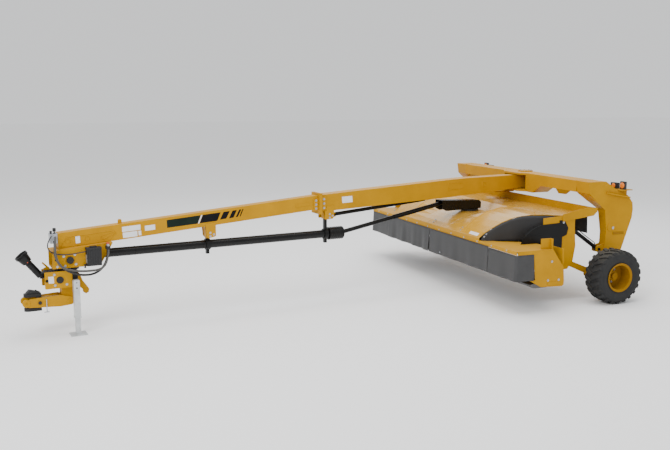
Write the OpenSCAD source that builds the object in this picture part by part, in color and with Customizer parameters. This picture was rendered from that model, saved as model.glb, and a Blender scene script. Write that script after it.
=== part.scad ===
// Pull-type mower conditioner with a centre-pivot tongue, parked on its jack with the header raised.
// Millimetres. X is the machine's left, Y runs rearward, Z is up; the origin is the middle of the hitch pin bore.

/* [Running gear] */
// Tyre outside diameter
tyre_d = 787; // [740:1:830]
// Tyre width
tyre_w = 340; // [300:1:360]
// Height of the tread lugs
lug_h = 18; // [12:1:22]
// Width of a tread lug
lug_w = 46; // [40:1:52]
// Lugs in each row of the tread
lug_n = 22; // [20:1:24]
// Rim diameter at the bead
rim_d = 381; // [360:1:400]
// Distance between the wheel centres
track = 4400; // [4380:2:4460]
// Wheel centre behind the tongue pivot
wheel_y = 50; // [20:1:80]
// Radius of the wheel spindle
spindle_r = 38; // [30:1:44]

/* [Arch carrier] */
// Height of the arch beam's top
beam_top = 1730; // [1720:1:1760]
// Height of the arch beam
beam_h = 170; // [150:1:180]
// Depth of the arch beam front to rear
beam_d = 300; // [280:1:320]
// Front face of the beam before the pivot
beam_front = 200; // [190:1:210]
// Gap between a leg's outer face and the middle of its wheel
leg_gap = 300; // [290:1:320]
// Width of a leg at its top
leg_w = 300; // [280:1:320]
// Radius of the tongue's pivot pin
pivot_r = 40; // [32:1:46]

/* [Tongue] */
// Swing of the tongue at rest, in degrees towards the left
swing = 7; // [6:0.1:8]
// Length from the pivot to the front end of the tongue
tongue_len = 7550; // [7545:1:7600]
// Width of the rear tongue section
rear_w = 200; // [180:1:210]
// Width of the front tongue section
front_w = 160; // [150:1:170]
// Height of the front tongue section
front_h = 200; // [190:1:206]
// Bolted joint of the two sections, from the pivot
flange_s = 3910; // [3905:1:3915]
// Height of the driveline tube's middle
tube_z = 970; // [965:1:975]
// Diameter of the driveline tube
tube_d = 117; // [110:1:120]

/* [Hitch] */
// Swivel axis of the hitch, from the pivot
swivel_s = 7430; // [7425:1:7435]
// Hitch pin bore, from the pivot
pin_s = 7925; // [7920:1:7930]
// Height of the hitch pin bore's middle
pin_z = 435; // [430:1:440]
// Radius of the hitch pin bore
pin_r = 16.5; // [13:0.1:20]
// Radius of the power take-off bore
pto_r = 17.5; // [15:0.1:20]
// Width of the jack's tube
jack_w = 76; // [70:1:80]

/* [Header] */
// Width of the header over its end plates
header_w = 4730; // [4720:2:4760]
// Front edge of the header, before the pivot
header_front = 1715; // [1710:1:1730]
// Height of the front rail's top, header raised
rail_top = 890; // [885:1:895]
// Lower edge of the front curtain, header raised
curtain_z = 480; // [460:1:500]
// Underside of the skid shoes, header raised
skid_z = 360; // [356:1:362]
// Number of cutter discs
disc_n = 9; // [9:1:9]
// Distance between cutter discs
disc_pitch = 500; // [496:1:510]
// Radius of the blades' tip circle
blade_r = 245; // [230:1:246]
// Radius of the conditioner rolls
roll_r = 106; // [90:1:110]
// Thickness of the hood sheet
sheet = 8; // [6:0.5:9]

/* [Lift] */
// Middle of the lift gear inside the leg's outer face
lift_in = 70; // [66:1:74]
// Radius of the lift pins
lift_pin_r = 20; // [16:1:24]
// Radius of the lift cylinder's barrel
barrel_r = 29; // [25:1:29]

/* [Hidden] */
$fn = 48;
eps = 0.01;
// Play between a pin and its bore
play = 0.3;
yellow = [0.80, 0.60, 0.10];
black = [0.08, 0.08, 0.09];
steel = [0.62, 0.64, 0.66];
rubber = [0.13, 0.13, 0.14];

wheel_x = track / 2;
leg_x = wheel_x - leg_gap;
lift_x = leg_x - lift_in;
tyre_r = tyre_d / 2;
rim_r = rim_d / 2;
beam_bot = beam_top - beam_h;
beam_y0 = -beam_front;
beam_y1 = beam_d - beam_front;
leg_in = leg_x - leg_w;
shelf_z = beam_top - 128;
mouth_x = 300;
mouth_h = 240;
yoke_y = beam_y0 - 90;
barrel_out = rear_w / 2 + 8;
barrel_room = barrel_out + 12;
mouth_hi = beam_top - 30;
mouth_lo = mouth_hi - mouth_h;
lug_x = -350;
lug_y = -350;
lug_z = mouth_lo - 28;
lug_drop = 42;

// Tongue edges as heights at a distance s from the pivot
front_slope = 0.0749;
function front_top(s) = 1552 - (s - 3930) * front_slope;
function front_bot(s) = front_top(s) - front_h;
function front_seat(s) = front_bot(s) - play;
knee_s = 1600;
neck_s = 350;
flange_bot = 1314;
function rear_bot(s) = s < knee_s ? mouth_lo + 6 - (s - neck_s) * 71 / (knee_s - neck_s)
  : mouth_lo - 65 + (flange_bot - mouth_lo + 65) * (s - knee_s) / (flange_s - 20 - knee_s);

// Lift pins as [y, z]: arm at the leg, arm at the header, cylinder at the leg, cylinder at the header
arm_leg = [-80, 390];
arm_head = [-458, 551];
cyl_leg = [40, 730];
cyl_head = [-588, 1165];
ear = 14;
ear_gap = 36;

// Hitch places
drawbar_s = 7460;
drawbar_z = 420;
drawbar_pin_r = 20;
jack_s = 7380;
jack_piv = 640;
jack_x = 152;
jack_pin_r = 20;

// Header section heights
half_w = header_w / 2;
hood_end_r = lift_x + 65;
hood_end_f = hood_end_r - 495;
end_span = half_w - hood_end_r;
hood_rear_y = -120;
hood_side_y = -640;
dish_x = 400;
dish_out = 900;
dish_z = 1128;
function hood_rear(y) = 1252 - (y - hood_rear_y) / 30;
function hood_under(y) = hood_rear(y) - sheet - play;
// Hood rows from the lip to the rear edge: y, height at the ends, height of the middle
hood_rows = [[-header_front, 935, 935], [-1640, 1010, 985], [-1540, 1085, 1035], [-1430, 1160, 1078],
  [-1300, 1222, 1112], [-1230, 1245, dish_z], [-1050, 1276, dish_z], [-870, 1278, dish_z], [-760, 1274, 1170],
  [hood_side_y, hood_rear(hood_side_y), 1228], [hood_rear_y, 1252, 1252]];
function hood_end(y) = y > hood_side_y ? hood_end_r
  : hood_end_f + (hood_end_r - hood_end_f) * (y + header_front) / (hood_side_y + header_front);
plate_t = 12;
plate_x = hood_end_r;
roll_up = [-700, 935];
roll_lo = [-742, 672];
roll_shaft_r = 30;
bed_top = skid_z + 62;
disc_y = -1330;
gear_y = -1050;
shield_w = 180;
shield_top = 1335;
shield_lo = 1160;
joint_s = 540;
joint_z = 1288;
drive_front_s = 3560;
drive_front_z = 962;
drive_ang = atan2(drive_front_s * sin(swing), drive_front_s * cos(swing) + gear_y);

// The whole machine moves so that the hitch pin bore lies at the origin
module placed() {
  translate([-pin_s * sin(swing), pin_s * cos(swing), -pin_z]) children();
}

// Frame of the tongue: x to its left, y rearward along it
module on_tongue() {
  placed() rotate([0, 0, swing]) children();
}

// Box between two corners
module box(a, b) {
  translate(a) cube(b - a);
}

// Section in Y and Z, drawn out along X from x0 to x1
module along_x(pts, x0, x1) {
  translate([x0, 0, 0]) rotate([90, 0, 90]) linear_extrude(x1 - x0) polygon(pts);
}

// Section in X and Z, drawn out along Y from y0 to y1
module along_y(pts, y0, y1) {
  translate([0, y1, 0]) rotate([90, 0, 0]) linear_extrude(y1 - y0) polygon(pts);
}

// Round bar between two points
module bar(p, q, r) {
  d = q - p;
  len = norm(d);
  translate(p) rotate([0, acos(d[2] / len), atan2(d[1], d[0])]) cylinder(h = len, r = r);
}

// Round bar along X at [y, z]
module cross_bar(x0, x1, c, r) {
  translate([x0, c[0], c[1]]) rotate([0, 90, 0]) cylinder(h = x1 - x0, r = r);
}

// Side section of the tongue: points are distance from the pivot and height
function side(pts) = [for (p = pts) [-p[0], p[1]]];

// Link plate between two pins on the YZ plane
module link(a, b, ra, rb, x0, x1) {
  d = b - a;
  len = norm(d);
  t = atan2(d[1], d[0]);
  translate([x0, a[0], a[1]]) rotate([90, 0, 90]) rotate([0, 0, t]) {
    linear_extrude(x1 - x0) polygon([[0, -ra], [len, -rb], [len, rb], [0, ra]]);
    cylinder(h = x1 - x0, r = ra);
    translate([len, 0, 0]) cylinder(h = x1 - x0, r = rb);
  }
}

// Points on a smooth path through the given points
function spline(p, n) = [for (i = [0 : len(p) - 2]) for (k = [0 : n - 1])
  let (t = k / n, a = p[max(i - 1, 0)], b = p[i], c = p[i + 1], d = p[min(i + 2, len(p) - 1)])
  0.5 * (2 * b + (c - a) * t + (2 * a - 5 * b + 4 * c - d) * t * t + (3 * b - a - 3 * c + d) * t * t * t)];

// Eight-sided hose along a path that stays near one upright plane
module hose(path, r) {
  n = len(path);
  rings = [for (i = [0 : n - 1])
    let (t = path[min(i + 1, n - 1)] - path[max(i - 1, 0)], w = t / norm(t),
      u0 = cross(w, [1, 0, 0]), u = u0 / norm(u0), v = cross(w, u))
    for (k = [0 : 7]) path[i] + r * (cos(45 * k) * u + sin(45 * k) * v)];
  sides = [for (i = [0 : n - 2]) for (k = [0 : 7])
    [i * 8 + k, i * 8 + (k + 1) % 8, (i + 1) * 8 + (k + 1) % 8, (i + 1) * 8 + k]];
  polyhedron(rings, concat(sides, [[for (k = [7 : -1 : 0]) k]], [[for (k = [0 : 7]) (n - 1) * 8 + k]]));
}

// Arch beam with its pivot mouth and the lug of the swing cylinder
module arch_beam() color(yellow) placed() {
  difference() {
    union() {
      along_y([[-leg_in, beam_top], [leg_in, beam_top], [leg_in, beam_bot], [720, beam_bot], [500, mouth_lo - 30],
        [-500, mouth_lo - 30], [-720, beam_bot], [-leg_in, beam_bot]], beam_y0, beam_y1);
      for (z = [mouth_lo - 30, mouth_hi]) translate([0, 0, z]) linear_extrude(30)
        polygon([[-mouth_x - 30, beam_y0 + 1], [-mouth_x + 90, yoke_y], [mouth_x - 90, yoke_y], [mouth_x + 30, beam_y0 + 1]]);
    }
    box([-mouth_x, yoke_y - 1, mouth_lo], [mouth_x, beam_y1 - 30, mouth_hi]);
    box([-barrel_room, 0, mouth_lo], [barrel_room, beam_y1 + 1, mouth_hi]);
    translate([0, 0, mouth_lo - 60]) cylinder(h = 400, r = pivot_r + play);
  }
  box([lug_x - 120, lug_y - 80, lug_z - lug_drop - 20], [lug_x + 120, -60, lug_z - lug_drop]);
  box([lug_x - 100, -170, lug_z - lug_drop], [lug_x + 100, -70, mouth_lo - 30]);
}

// Leg of the arch on the left; the right one is its mirror
module leg() {
  profile = [[-210, beam_top], [100, beam_top], [330, beam_top - 150], [510, beam_top - 220], [600, beam_top - 330],
    [612, beam_top - 430], [600, beam_top - 550], [430, 705], [290, 390], [240, 320], [40, 310], [-20, 340], [40, 470],
    [115, 620], [120, 747], [137, 985], [105, beam_top - 420], [-60, beam_top - 290], [-185, beam_bot]];
  intersection() {
    along_x(profile, leg_in, leg_x);
    along_y([[leg_in, beam_top + 1], [leg_x + 1, beam_top + 1], [leg_x + 1, 300], [leg_x - 130, 300],
      [leg_x - 130, 900], [leg_x - 160, beam_top - 480], [leg_x - 200, beam_top - 350], [leg_x - 255, beam_top - 250],
      [leg_in, beam_bot - 20]], -300, 700);
  }
  box([leg_in + 30, 330, shelf_z - 12], [leg_x + 50, 545, shelf_z]);
  along_x([[335, shelf_z - 32], [500, shelf_z - 88], [500, shelf_z - 11], [335, shelf_z - 11]], leg_x - 30, leg_x - 18);
  for (x = [lift_x - ear_gap - ear, lift_x + ear_gap]) {
    difference() {
      along_x([[-140, 345], [-110, 310], [60, 310], [60, 460], [-60, 460], [-130, 430]], x, x + ear);
      cross_bar(x - 1, x + ear + 1, arm_leg, lift_pin_r + play);
    }
    difference() {
      along_x([[-10, 700], [20, 685], [130, 660], [130, 810], [20, 780], [-10, 765]], x, x + ear);
      cross_bar(x - 1, x + ear + 1, cyl_leg, lift_pin_r + play);
    }
  }
  cross_bar(leg_x, leg_x + 8, [210, 1050], 55);
}

module leg_left() color(yellow) placed() leg();

module leg_right() color(yellow) placed() mirror([1, 0, 0]) leg();

// Pivot pin of the tongue with its bolted cap
module pivot_pin() color(yellow) placed() {
  translate([0, 0, mouth_lo - 40]) cylinder(h = beam_top - mouth_lo + 40, r = pivot_r);
  translate([0, 0, beam_top]) cylinder(h = 16, r = 120);
}

// Wheel spindles bolted to the legs
module spindles() color(steel) placed() for (m = [0, 1]) mirror([m, 0, 0]) {
  cross_bar(leg_x, leg_x + 20, [wheel_y + 10, tyre_r], 75);
  cross_bar(leg_x, wheel_x - 32, [wheel_y, tyre_r], spindle_r);
}

// Road lamps on the leg shelves
module lamps() color(black) placed() for (m = [0, 1]) mirror([m, 0, 0]) {
  box([leg_x - 60, 400, shelf_z], [leg_x + 40, 440, shelf_z + 118]);
  box([leg_x - 240, 380, shelf_z], [leg_x - 110, 440, shelf_z + 88]);
}

// Tyre with two rows of slanted lugs
module tyre() {
  w = tyre_w / 2;
  tread_r = tyre_r - lug_h;
  translate([0, wheel_y, tyre_r]) rotate([0, 90, 0]) {
    rotate_extrude($fn = 72) polygon([[rim_r + play, -w + 35], [rim_r + 30, -w + 18], [rim_r + 85, -w],
      [tyre_r - 92, -w], [tyre_r - 52, -w + 12], [tread_r - 8, -w + 36], [tread_r, -w + 66], [tread_r, w - 66],
      [tread_r - 8, w - 36], [tyre_r - 52, w - 12], [tyre_r - 92, w], [rim_r + 85, w], [rim_r + 30, w - 18],
      [rim_r + play, w - 35]]);
    intersection() {
      rotate_extrude($fn = 72) polygon([[tread_r - 34, -w + 9], [tyre_r - 58, -w + 5], [tyre_r - 9, -w + 30],
        [tyre_r, -w + 62], [tyre_r, w - 62], [tyre_r - 9, w - 30], [tyre_r - 58, w - 5], [tread_r - 34, w - 9]]);
      for (k = [-1, 1]) for (i = [0 : lug_n - 1]) rotate([0, 0, (i + k / 4) * 360 / lug_n])
        translate([tread_r - 24, 0, k * w / 2]) rotate([k * 24, 0, 0])
          translate([0, -lug_w / 2, -w / 2 - 2]) cube([70, lug_w, w + 4]);
    }
  }
}

// Deep rim with its hub
module rim() {
  w = tyre_w / 2;
  translate([0, wheel_y, tyre_r]) rotate([0, 90, 0]) difference() {
    union() {
      rotate_extrude($fn = 72) polygon([[rim_r - 12, -w + 22], [rim_r + 20, -w + 8], [rim_r + 20, -w + 14],
        [rim_r, -w + 34.5], [rim_r, w - 34.5], [rim_r + 20, w - 14], [rim_r + 20, w - 8], [rim_r - 12, w - 22],
        [rim_r - 12, -40], [rim_r - 60, -46], [74, -52], [74, -66], [rim_r - 60, -60], [rim_r - 12, -54]]);
      translate([0, 0, -110]) cylinder(h = 130, r = 75);
      translate([0, 0, 20]) cylinder(h = 22, r = 46);
    }
    translate([0, 0, -111]) cylinder(h = 81, r = spindle_r + play);
  }
}

module tyre_left() color(rubber) placed() translate([wheel_x, 0, 0]) tyre();

module rim_left() color(yellow) placed() translate([wheel_x, 0, 0]) rim();

module tyre_right() color(rubber) placed() mirror([1, 0, 0]) translate([wheel_x, 0, 0]) tyre();

module rim_right() color(yellow) placed() mirror([1, 0, 0]) translate([wheel_x, 0, 0]) rim();

// Rear section of the tongue with its pivot barrel
module tongue_rear() color(yellow) on_tongue() {
  difference() {
    union() {
      along_x(side([[0, mouth_hi - 10], [1300, mouth_hi - 20], [1650, mouth_hi - 32], [flange_s - 20, 1556],
        [flange_s - 20, rear_bot(flange_s - 20)], [knee_s, rear_bot(knee_s)], [neck_s, rear_bot(neck_s)], [0, mouth_lo + 10]]),
        -rear_w / 2, rear_w / 2);
      translate([0, 0, mouth_lo + 6]) cylinder(h = mouth_hi - mouth_lo - 12, r = barrel_out);
    }
    translate([0, 0, mouth_lo]) cylinder(h = 300, r = pivot_r + play);
  }
  box([-135, -flange_s, 1280], [135, -flange_s + 20, 1585]);
}

// Front section of the tongue
module tongue_front() color(yellow) on_tongue() {
  along_x(side([[flange_s + 20, front_top(flange_s + 20)], [tongue_len, front_top(tongue_len)],
    [tongue_len, front_bot(tongue_len)], [flange_s + 20, front_bot(flange_s + 20)]]), -front_w / 2, front_w / 2);
  box([-135, -flange_s - 20, 1280], [135, -flange_s, 1585]);
  tab_s = tongue_len - 810;
  along_x(side([[tab_s, front_top(tab_s) - 6], [tab_s + 50, front_top(tab_s) - 6], [tab_s + 50, front_top(tab_s) + 40],
    [tab_s + 38, front_top(tab_s) + 55], [tab_s + 12, front_top(tab_s) + 55], [tab_s, front_top(tab_s) + 40]]), -6, 6);
}

// Welded housing of the upper gearbox under the tongue's front end
module gearbox_housing() color(yellow) on_tongue() {
  out = 150;
  difference() {
    union() {
      along_x(side([[tongue_len, front_seat(tongue_len)], [6900, front_seat(6900)], [6900, front_seat(6900) - 12],
        [tongue_len, front_seat(tongue_len) - 12]]), -out, out);
      along_x(side([[7640, 1060], [tongue_len, front_seat(tongue_len) - 12], [tongue_len, front_seat(tongue_len)],
        [7640, 1072]]), -out, out);
      for (x = [-out, out - plate_t]) along_x(side([[7640, 1060], [tongue_len, front_seat(tongue_len) - 12],
        [6900, front_seat(6900) - 12], [7060, 850], [7640, 850]]), x, x + plate_t);
      box([-out, -7640, 850], [out, -7060, 862]);
    }
    translate([0, -swivel_s, 840]) cylinder(h = 30, r = 90 + play);
    cross_bar(-200, 200, [-swivel_s, 945], 44 + play);
  }
}

// Upper gearbox with its side caps, swivel neck and input shaft
module upper_gearbox() color(black) on_tongue() difference() {
  union() {
    box([-120, -7600, 862], [120, -7270, 1040]);
    translate([0, -swivel_s, 842]) cylinder(h = 21, r = 90);
    cross_bar(-166, 166, [-swivel_s, 945], 44);
    translate([0, -7055, tube_z]) rotate([90, 0, 0]) cylinder(h = 220, r = 40);
  }
  translate([0, -swivel_s, 840]) cylinder(h = 64, r = 45 + play);
}

// Yellow hanger brackets of the driveline, the rear one with the swing cylinder's clevis
module hanger_brackets() color(yellow) on_tongue() {
  along_x(side([[5550, front_seat(5550)], [5630, front_seat(5630)], [5615, 1060], [5565, 1060]]), -45, 45);
  along_x(side([[3730, rear_bot(3730) - play], [3830, rear_bot(3830) - play], [3815, 1195], [3745, 1195]]), -45, 45);
  for (z = [1217, 1262]) box([-40, -3760, z], [40, -3625, z + 12]);
  translate([0, -3670, 1217]) cylinder(h = 57, r = 12);
}

// Black hanger posts that clamp the driveline tube
module hanger_posts() color(black) on_tongue() for (h = [[5590, 1060], [3780, 1195]]) difference() {
  union() {
    box([-25, -h[0] - 20, 840], [25, -h[0] + 20, h[1]]);
    translate([0, -h[0] + 30, tube_z]) rotate([90, 0, 0]) cylinder(h = 60, r = tube_d / 2 + 18);
  }
  translate([0, -h[0] + 40, tube_z]) rotate([90, 0, 0]) cylinder(h = 80, r = tube_d / 2 + play);
}

// Shield tube of the front driveline
module driveline_tube() color(black) on_tongue() {
  translate([0, -3735, tube_z]) rotate([90, 0, 0]) cylinder(h = 7055 - 3735, r = tube_d / 2);
}

// Bell guard over the joint behind the rear hanger
module driveline_guard() color(black) on_tongue() {
  translate([0, -3500, tube_z]) rotate([90, 0, 0]) difference() {
    cylinder(h = 235, r = 92);
    translate([0, 0, -1]) cylinder(h = 220, r = 85);
  }
}

// Black document box and hose rack on the housing's left
module manual_box() color(black) on_tongue() {
  box([150, -7240, 862], [235, -7060, 1085]);
  box([150, -6995, 1055], [225, -6945, 1095]);
}

// Valve block on the tongue's front end
module valve_block() color(steel) on_tongue() {
  box([-60, -tongue_len - 90, 1155], [60, -tongue_len, 1275]);
}

// Hoses between the valve block and the hose rack
module hose_upper() color(black) on_tongue() hose(concat(spline([[62.4, -7585, 1240], [125, -7588, 1238],
  [215, -7610, 1165], [236, -7612, 1030], [236, -7552, 890], [236, -7400, 825], [236, -7220, 805], [236, -7080, 818],
  [228, -7012, 880], [214, -6984, 960], [212, -6971, 1015], [212, -6970, 1054]], 3), [[212, -6970, 1054]]), 14);

module hose_lower() color(black) on_tongue() hose(concat(spline([[62.4, -7600, 1190], [118, -7604, 1188],
  [188, -7632, 1110], [200, -7634, 985], [196, -7575, 895], [196, -7475, 850], [196, -7375, 782], [196, -7220, 745],
  [196, -7050, 790],
  [192, -6985, 900], [176, -6971, 1005], [172, -6970, 1054]], 3), [[172, -6970, 1054]]), 14);

module hose_cable() color(black) on_tongue() hose(concat(spline([[61.4, -7630, 1255], [90, -7632, 1253],
  [115, -7690, 1225], [135, -7700, 1150], [158, -7660, 1085], [162, -7560, 1050], [175, -7400, 1030],
  [190, -7290, 1040], [192, -7240.9, 1042]], 3), [[192, -7240.9, 1042]]), 7);

// Barrel of the swing cylinder, hinged under the tongue
swing_a = [0, -3670, 1245];
swing_b = [lug_x * cos(swing) + lug_y * sin(swing), -lug_x * sin(swing) + lug_y * cos(swing), lug_z];
swing_dir = (swing_b - swing_a) / norm(swing_b - swing_a);
module swing_barrel() color(black) on_tongue() difference() {
  union() {
    translate([0, -3670, 1231]) cylinder(h = 29, r = 32);
    bar(swing_a + 25 * swing_dir, swing_a + 110 * swing_dir, 13);
    bar(swing_a + 60 * swing_dir, swing_a + 1800 * swing_dir, 28);
  }
  translate([0, -3670, 1220]) cylinder(h = 60, r = 12 + play);
  bar(swing_a + 120 * swing_dir, swing_a + 1810 * swing_dir, 18 + play);
}

// Rod of the swing cylinder, its eye over the carrier's lug
module swing_rod() color(steel) on_tongue() difference() {
  union() {
    bar(swing_a + 700 * swing_dir, swing_b - 30 * swing_dir, 18);
    translate([swing_b[0], swing_b[1], swing_b[2] - 12]) cylinder(h = 24, r = 36);
  }
  translate([swing_b[0], swing_b[1], swing_b[2] - 30]) cylinder(h = 60, r = 15);
}

// Housing of the lower gearbox that swivels under the upper one
module hitch_housing() color(yellow) on_tongue() {
  out = 130;
  difference() {
    union() {
      for (x = [-out, out - plate_t]) along_x(side([[7740, 812], [7340, 812], [7340, 600], [7730, 600], [7740, 610]]),
        x, x + plate_t);
      box([-out, -7560, 600], [out, -7340, 612]);
      box([-60, -7540, 380], [60, -7385, 600]);
      along_x(side([[7345, 780], [7300, 740], [7262, 640], [7215, 575], [7188, 530], [7195, 486], [7230, 470], [7262, 492],
        [7268, 530], [7345, 606]]), -14, 14);
    }
    cross_bar(-200, 200, [-7560, 705], 44 + play);
    cross_bar(100, 200, [-jack_s, jack_piv], jack_pin_r + play);
  }
  cross_bar(-108, 108, [-drawbar_s, drawbar_z], drawbar_pin_r);
}

// Lower gearbox with its side caps, swivel ring and output stub
module lower_gearbox() color(black) on_tongue() {
  box([-112, -7560, 612], [112, -7350, 812]);
  box([-112, -7720, 712], [112, -7560, 812]);
  cross_bar(-142, 142, [-7560, 705], 44);
  translate([0, -swivel_s, 812]) cylinder(h = 24, r = 130);
  translate([0, -swivel_s, 836]) cylinder(h = 60, r = 45);
}

// Power take-off half shaft held up on its hook, with shield tube and bell
pto_a = [0, -7775, 762];
pto_tilt = 38;
module pto_shaft() color(black) on_tongue() {
  translate([0, -7720, pto_a[2]]) rotate([90, 0, 0]) cylinder(h = 60, r = 46);
  translate(pto_a) rotate([pto_tilt, 0, 0]) difference() {
    union() {
      translate([0, 0, -10]) cylinder(h = 240, r = 42);
      translate([0, 0, 225]) cylinder(h = 125, r1 = 60, r2 = 82);
    }
    translate([0, 0, 250]) cylinder(h = 101, r1 = 54, r2 = 76);
    translate([0, 0, 150]) cylinder(h = 120, r = pto_r);
  }
}

// Drawbar with its two arms, pin and cross plates
module drawbar() color(yellow) on_tongue() {
  for (x = [-100, 70]) difference() {
    along_x(side([[7400, 395], [7420, 372], [7560, 360], [7940, 385], [7985, 412], [7990, 440], [7975, 470],
      [7900, 490], [7560, 505], [7430, 470], [7400, 440]]), x, x + 30);
    cross_bar(x - 1, x + 31, [-drawbar_s, drawbar_z], drawbar_pin_r + play);
    cross_bar(x - 1, x + 31, [-7805, pin_z], 22 + play);
  }
  box([-70, -7720, 470], [70, -7590, 485]);
  box([-70, -7720, 378], [70, -7600, 392]);
}

// Swivelling clevis for the tractor's drawbar, with its cross pin
module hitch_clevis() color(black) on_tongue() difference() {
  union() {
    box([-58, -7832, 325], [58, -7780, 545]);
    for (z = [325, 505]) {
      box([-58, -pin_s, z], [58, -7780, z + 40]);
      translate([0, -pin_s, z]) cylinder(h = 40, r = 58);
    }
    cross_bar(-112, 112, [-7805, pin_z], 22);
  }
  translate([0, -pin_s, 300]) cylinder(h = 260, r = pin_r);
}

// Outer tube of the swivelling jack
module jack_tube() color(steel) on_tongue() {
  box([jack_x, -jack_s - jack_w / 2, 215], [jack_x + jack_w, -jack_s + jack_w / 2, 690]);
  cross_bar(132, jack_x, [-jack_s, jack_piv], 32);
  cross_bar(119, 132, [-jack_s, jack_piv], jack_pin_r);
  box([jack_x + 10, -jack_s - 28, 690], [jack_x + jack_w - 10, -jack_s + 28, 704]);
}

// Inner leg and foot of the jack
module jack_leg() color(steel) on_tongue() {
  box([jack_x + 8, -jack_s - jack_w / 2 + 8, 10], [jack_x + jack_w - 8, -jack_s + jack_w / 2 - 8, 215]);
  box([jack_x + jack_w / 2 - 90, -jack_s - 100, 0], [jack_x + jack_w / 2 + 90, -jack_s + 100, 10]);
}

// Lower lift arms
module lift_arms() color(yellow) placed() for (m = [0, 1]) mirror([m, 0, 0]) {
  difference() {
    link(arm_leg, arm_head, 45, 38, lift_x - 30, lift_x + 30);
    cross_bar(lift_x - 31, lift_x + 31, arm_head, lift_pin_r + play);
  }
  cross_bar(lift_x - 62, lift_x + 62, arm_leg, lift_pin_r);
}

cyl_dir = (cyl_head - cyl_leg) / norm(cyl_head - cyl_leg);
function cyl_at(k) = [0, cyl_leg[0] + k * cyl_dir[0], cyl_leg[1] + k * cyl_dir[1]];
cyl_len = norm(cyl_head - cyl_leg);

// Lift cylinder barrels, hinged on the legs
module lift_barrels() color(black) placed() for (m = [0, 1]) mirror([m, 0, 0]) {
  cross_bar(lift_x - 62, lift_x + 62, cyl_leg, lift_pin_r);
  cross_bar(lift_x - 27, lift_x + 27, cyl_leg, 35);
  translate([lift_x, 0, 0]) difference() {
    bar(cyl_at(25), cyl_at(520), barrel_r);
    bar(cyl_at(120), cyl_at(530), 20 + play);
  }
}

// Lift cylinder rods, their eyes at the header's pins
module lift_rods() color(steel) placed() for (m = [0, 1]) mirror([m, 0, 0]) {
  translate([lift_x, 0, 0]) bar(cyl_at(300), cyl_at(cyl_len - 25), 20);
  cross_bar(lift_x - 26, lift_x + 26, cyl_head, 34);
}

// Hood sheet over the cutter discs and the conditioner, drawn down in the middle for the gearbox
module hood() color(yellow) placed() {
  n = len(hood_rows);
  m = 6;
  top = [for (r = hood_rows) for (j = [0 : m - 1])
    [(j < 3 ? -1 : 1) * [dish_x, dish_out, hood_end(r[0])][j < 3 ? 2 - j : j - 3], r[0], j == 2 || j == 3 ? r[2] : r[1]]];
  low = [for (i = [0 : n - 1]) for (j = [0 : m - 1]) top[i * m + j] - [0, 0, i < 5 ? sheet * 1.4 : sheet]];
  rim = concat([for (j = [0 : m - 1]) j], [for (i = [1 : n - 1]) i * m + m - 1], [for (j = [m - 2 : -1 : 0]) (n - 1) * m + j],
    [for (i = [n - 2 : -1 : 1]) i * m]);
  k = n * m;
  quads = [for (i = [0 : n - 2]) for (j = [0 : m - 2]) let (a = i * m + j) [a, a + m, a + m + 1, a + 1]];
  polyhedron(concat(top, low), concat(
    [for (q = quads) [q[0], q[1], q[2]]], [for (q = quads) [q[0], q[2], q[3]]],
    [for (q = quads) [q[2] + k, q[1] + k, q[0] + k]], [for (q = quads) [q[3] + k, q[2] + k, q[0] + k]],
    [for (i = [0 : len(rim) - 1]) let (a = rim[i], b = rim[(i + 1) % len(rim)]) [a, b, b + k]],
    [for (i = [0 : len(rim) - 1]) let (a = rim[i], b = rim[(i + 1) % len(rim)]) [a, b + k, a + k]]));
}

// Black panels beside the hood's slanted ends, on the header's side plates
module inner_panels() color(black) placed() for (m = [0, 1]) mirror([m, 0, 0]) {
  along_x([[-1290, rail_top + play], [-1255, 1010], [-1150, 1090], [-1000, 1150], [-640, 1165], [-640, 760], [-930, 760],
    [-930, rail_top + play]], plate_x, plate_x + 8);
  along_x([[-1255, 1010], [-1150, 1090], [-1000, 1150], [-1000, 1142], [-1147, 1083], [-1250, 1004]],
    plate_x - 70, plate_x + 1);
}

// End section of the header: top plate, end plate and upright tab
module end_section() {
  difference() {
    translate([0, 0, rail_top - 8]) linear_extrude(8) polygon([[hood_end_f - 60, -header_front + 26],
      [half_w, -header_front + 26], [half_w, -1120], [half_w - end_span * 0.38, -1035], [hood_end_r + 5, -1085],
      [hood_end_r - 195, -1230], [hood_end_f + 160, -1500], [hood_end_f - 60, -header_front + 60]]);
  }
  along_x([[-header_front + 26, rail_top - 8], [-header_front + 26, rail_top - 62], [-1436, rail_top - 70],
    [-1400, curtain_z], [-1486, curtain_z - 8], [-1303, skid_z + 12], [-960, skid_z], [-930, skid_z + 20], [-926, 430],
    [-943, 627], [-1120, rail_top - 8]], half_w - plate_t, half_w);
  box([half_w - 60, -1290, rail_top], [half_w - 50, -1130, rail_top + 145]);
  box([half_w - 60, -1140, rail_top], [half_w, -1130, rail_top + 145]);
}

module end_left() color(yellow) placed() end_section();

module end_right() color(yellow) placed() mirror([1, 0, 0]) end_section();

// Front rail that carries the curtain and the hood's lip
module front_rail() color(yellow) placed() {
  box([-half_w, -header_front, rail_top - 50], [half_w, -header_front + 6, rail_top]);
  box([-half_w, -header_front + 6, rail_top - 8], [half_w, -header_front + 26, rail_top]);
  box([-hood_end_f + 5, -header_front, rail_top], [hood_end_f - 5, -header_front + 6, 935 - sheet * 1.4]);
}

// Rubber curtain on the front rail, turned back along both ends
module front_curtain() color(rubber) placed() {
  box([-half_w - 7, -header_front - 7, curtain_z], [half_w + 7, -header_front, rail_top - 12]);
  for (x = [-half_w - 7, half_w]) box([x, -header_front, curtain_z], [x + 7, -1430, rail_top - 66]);
}

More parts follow.
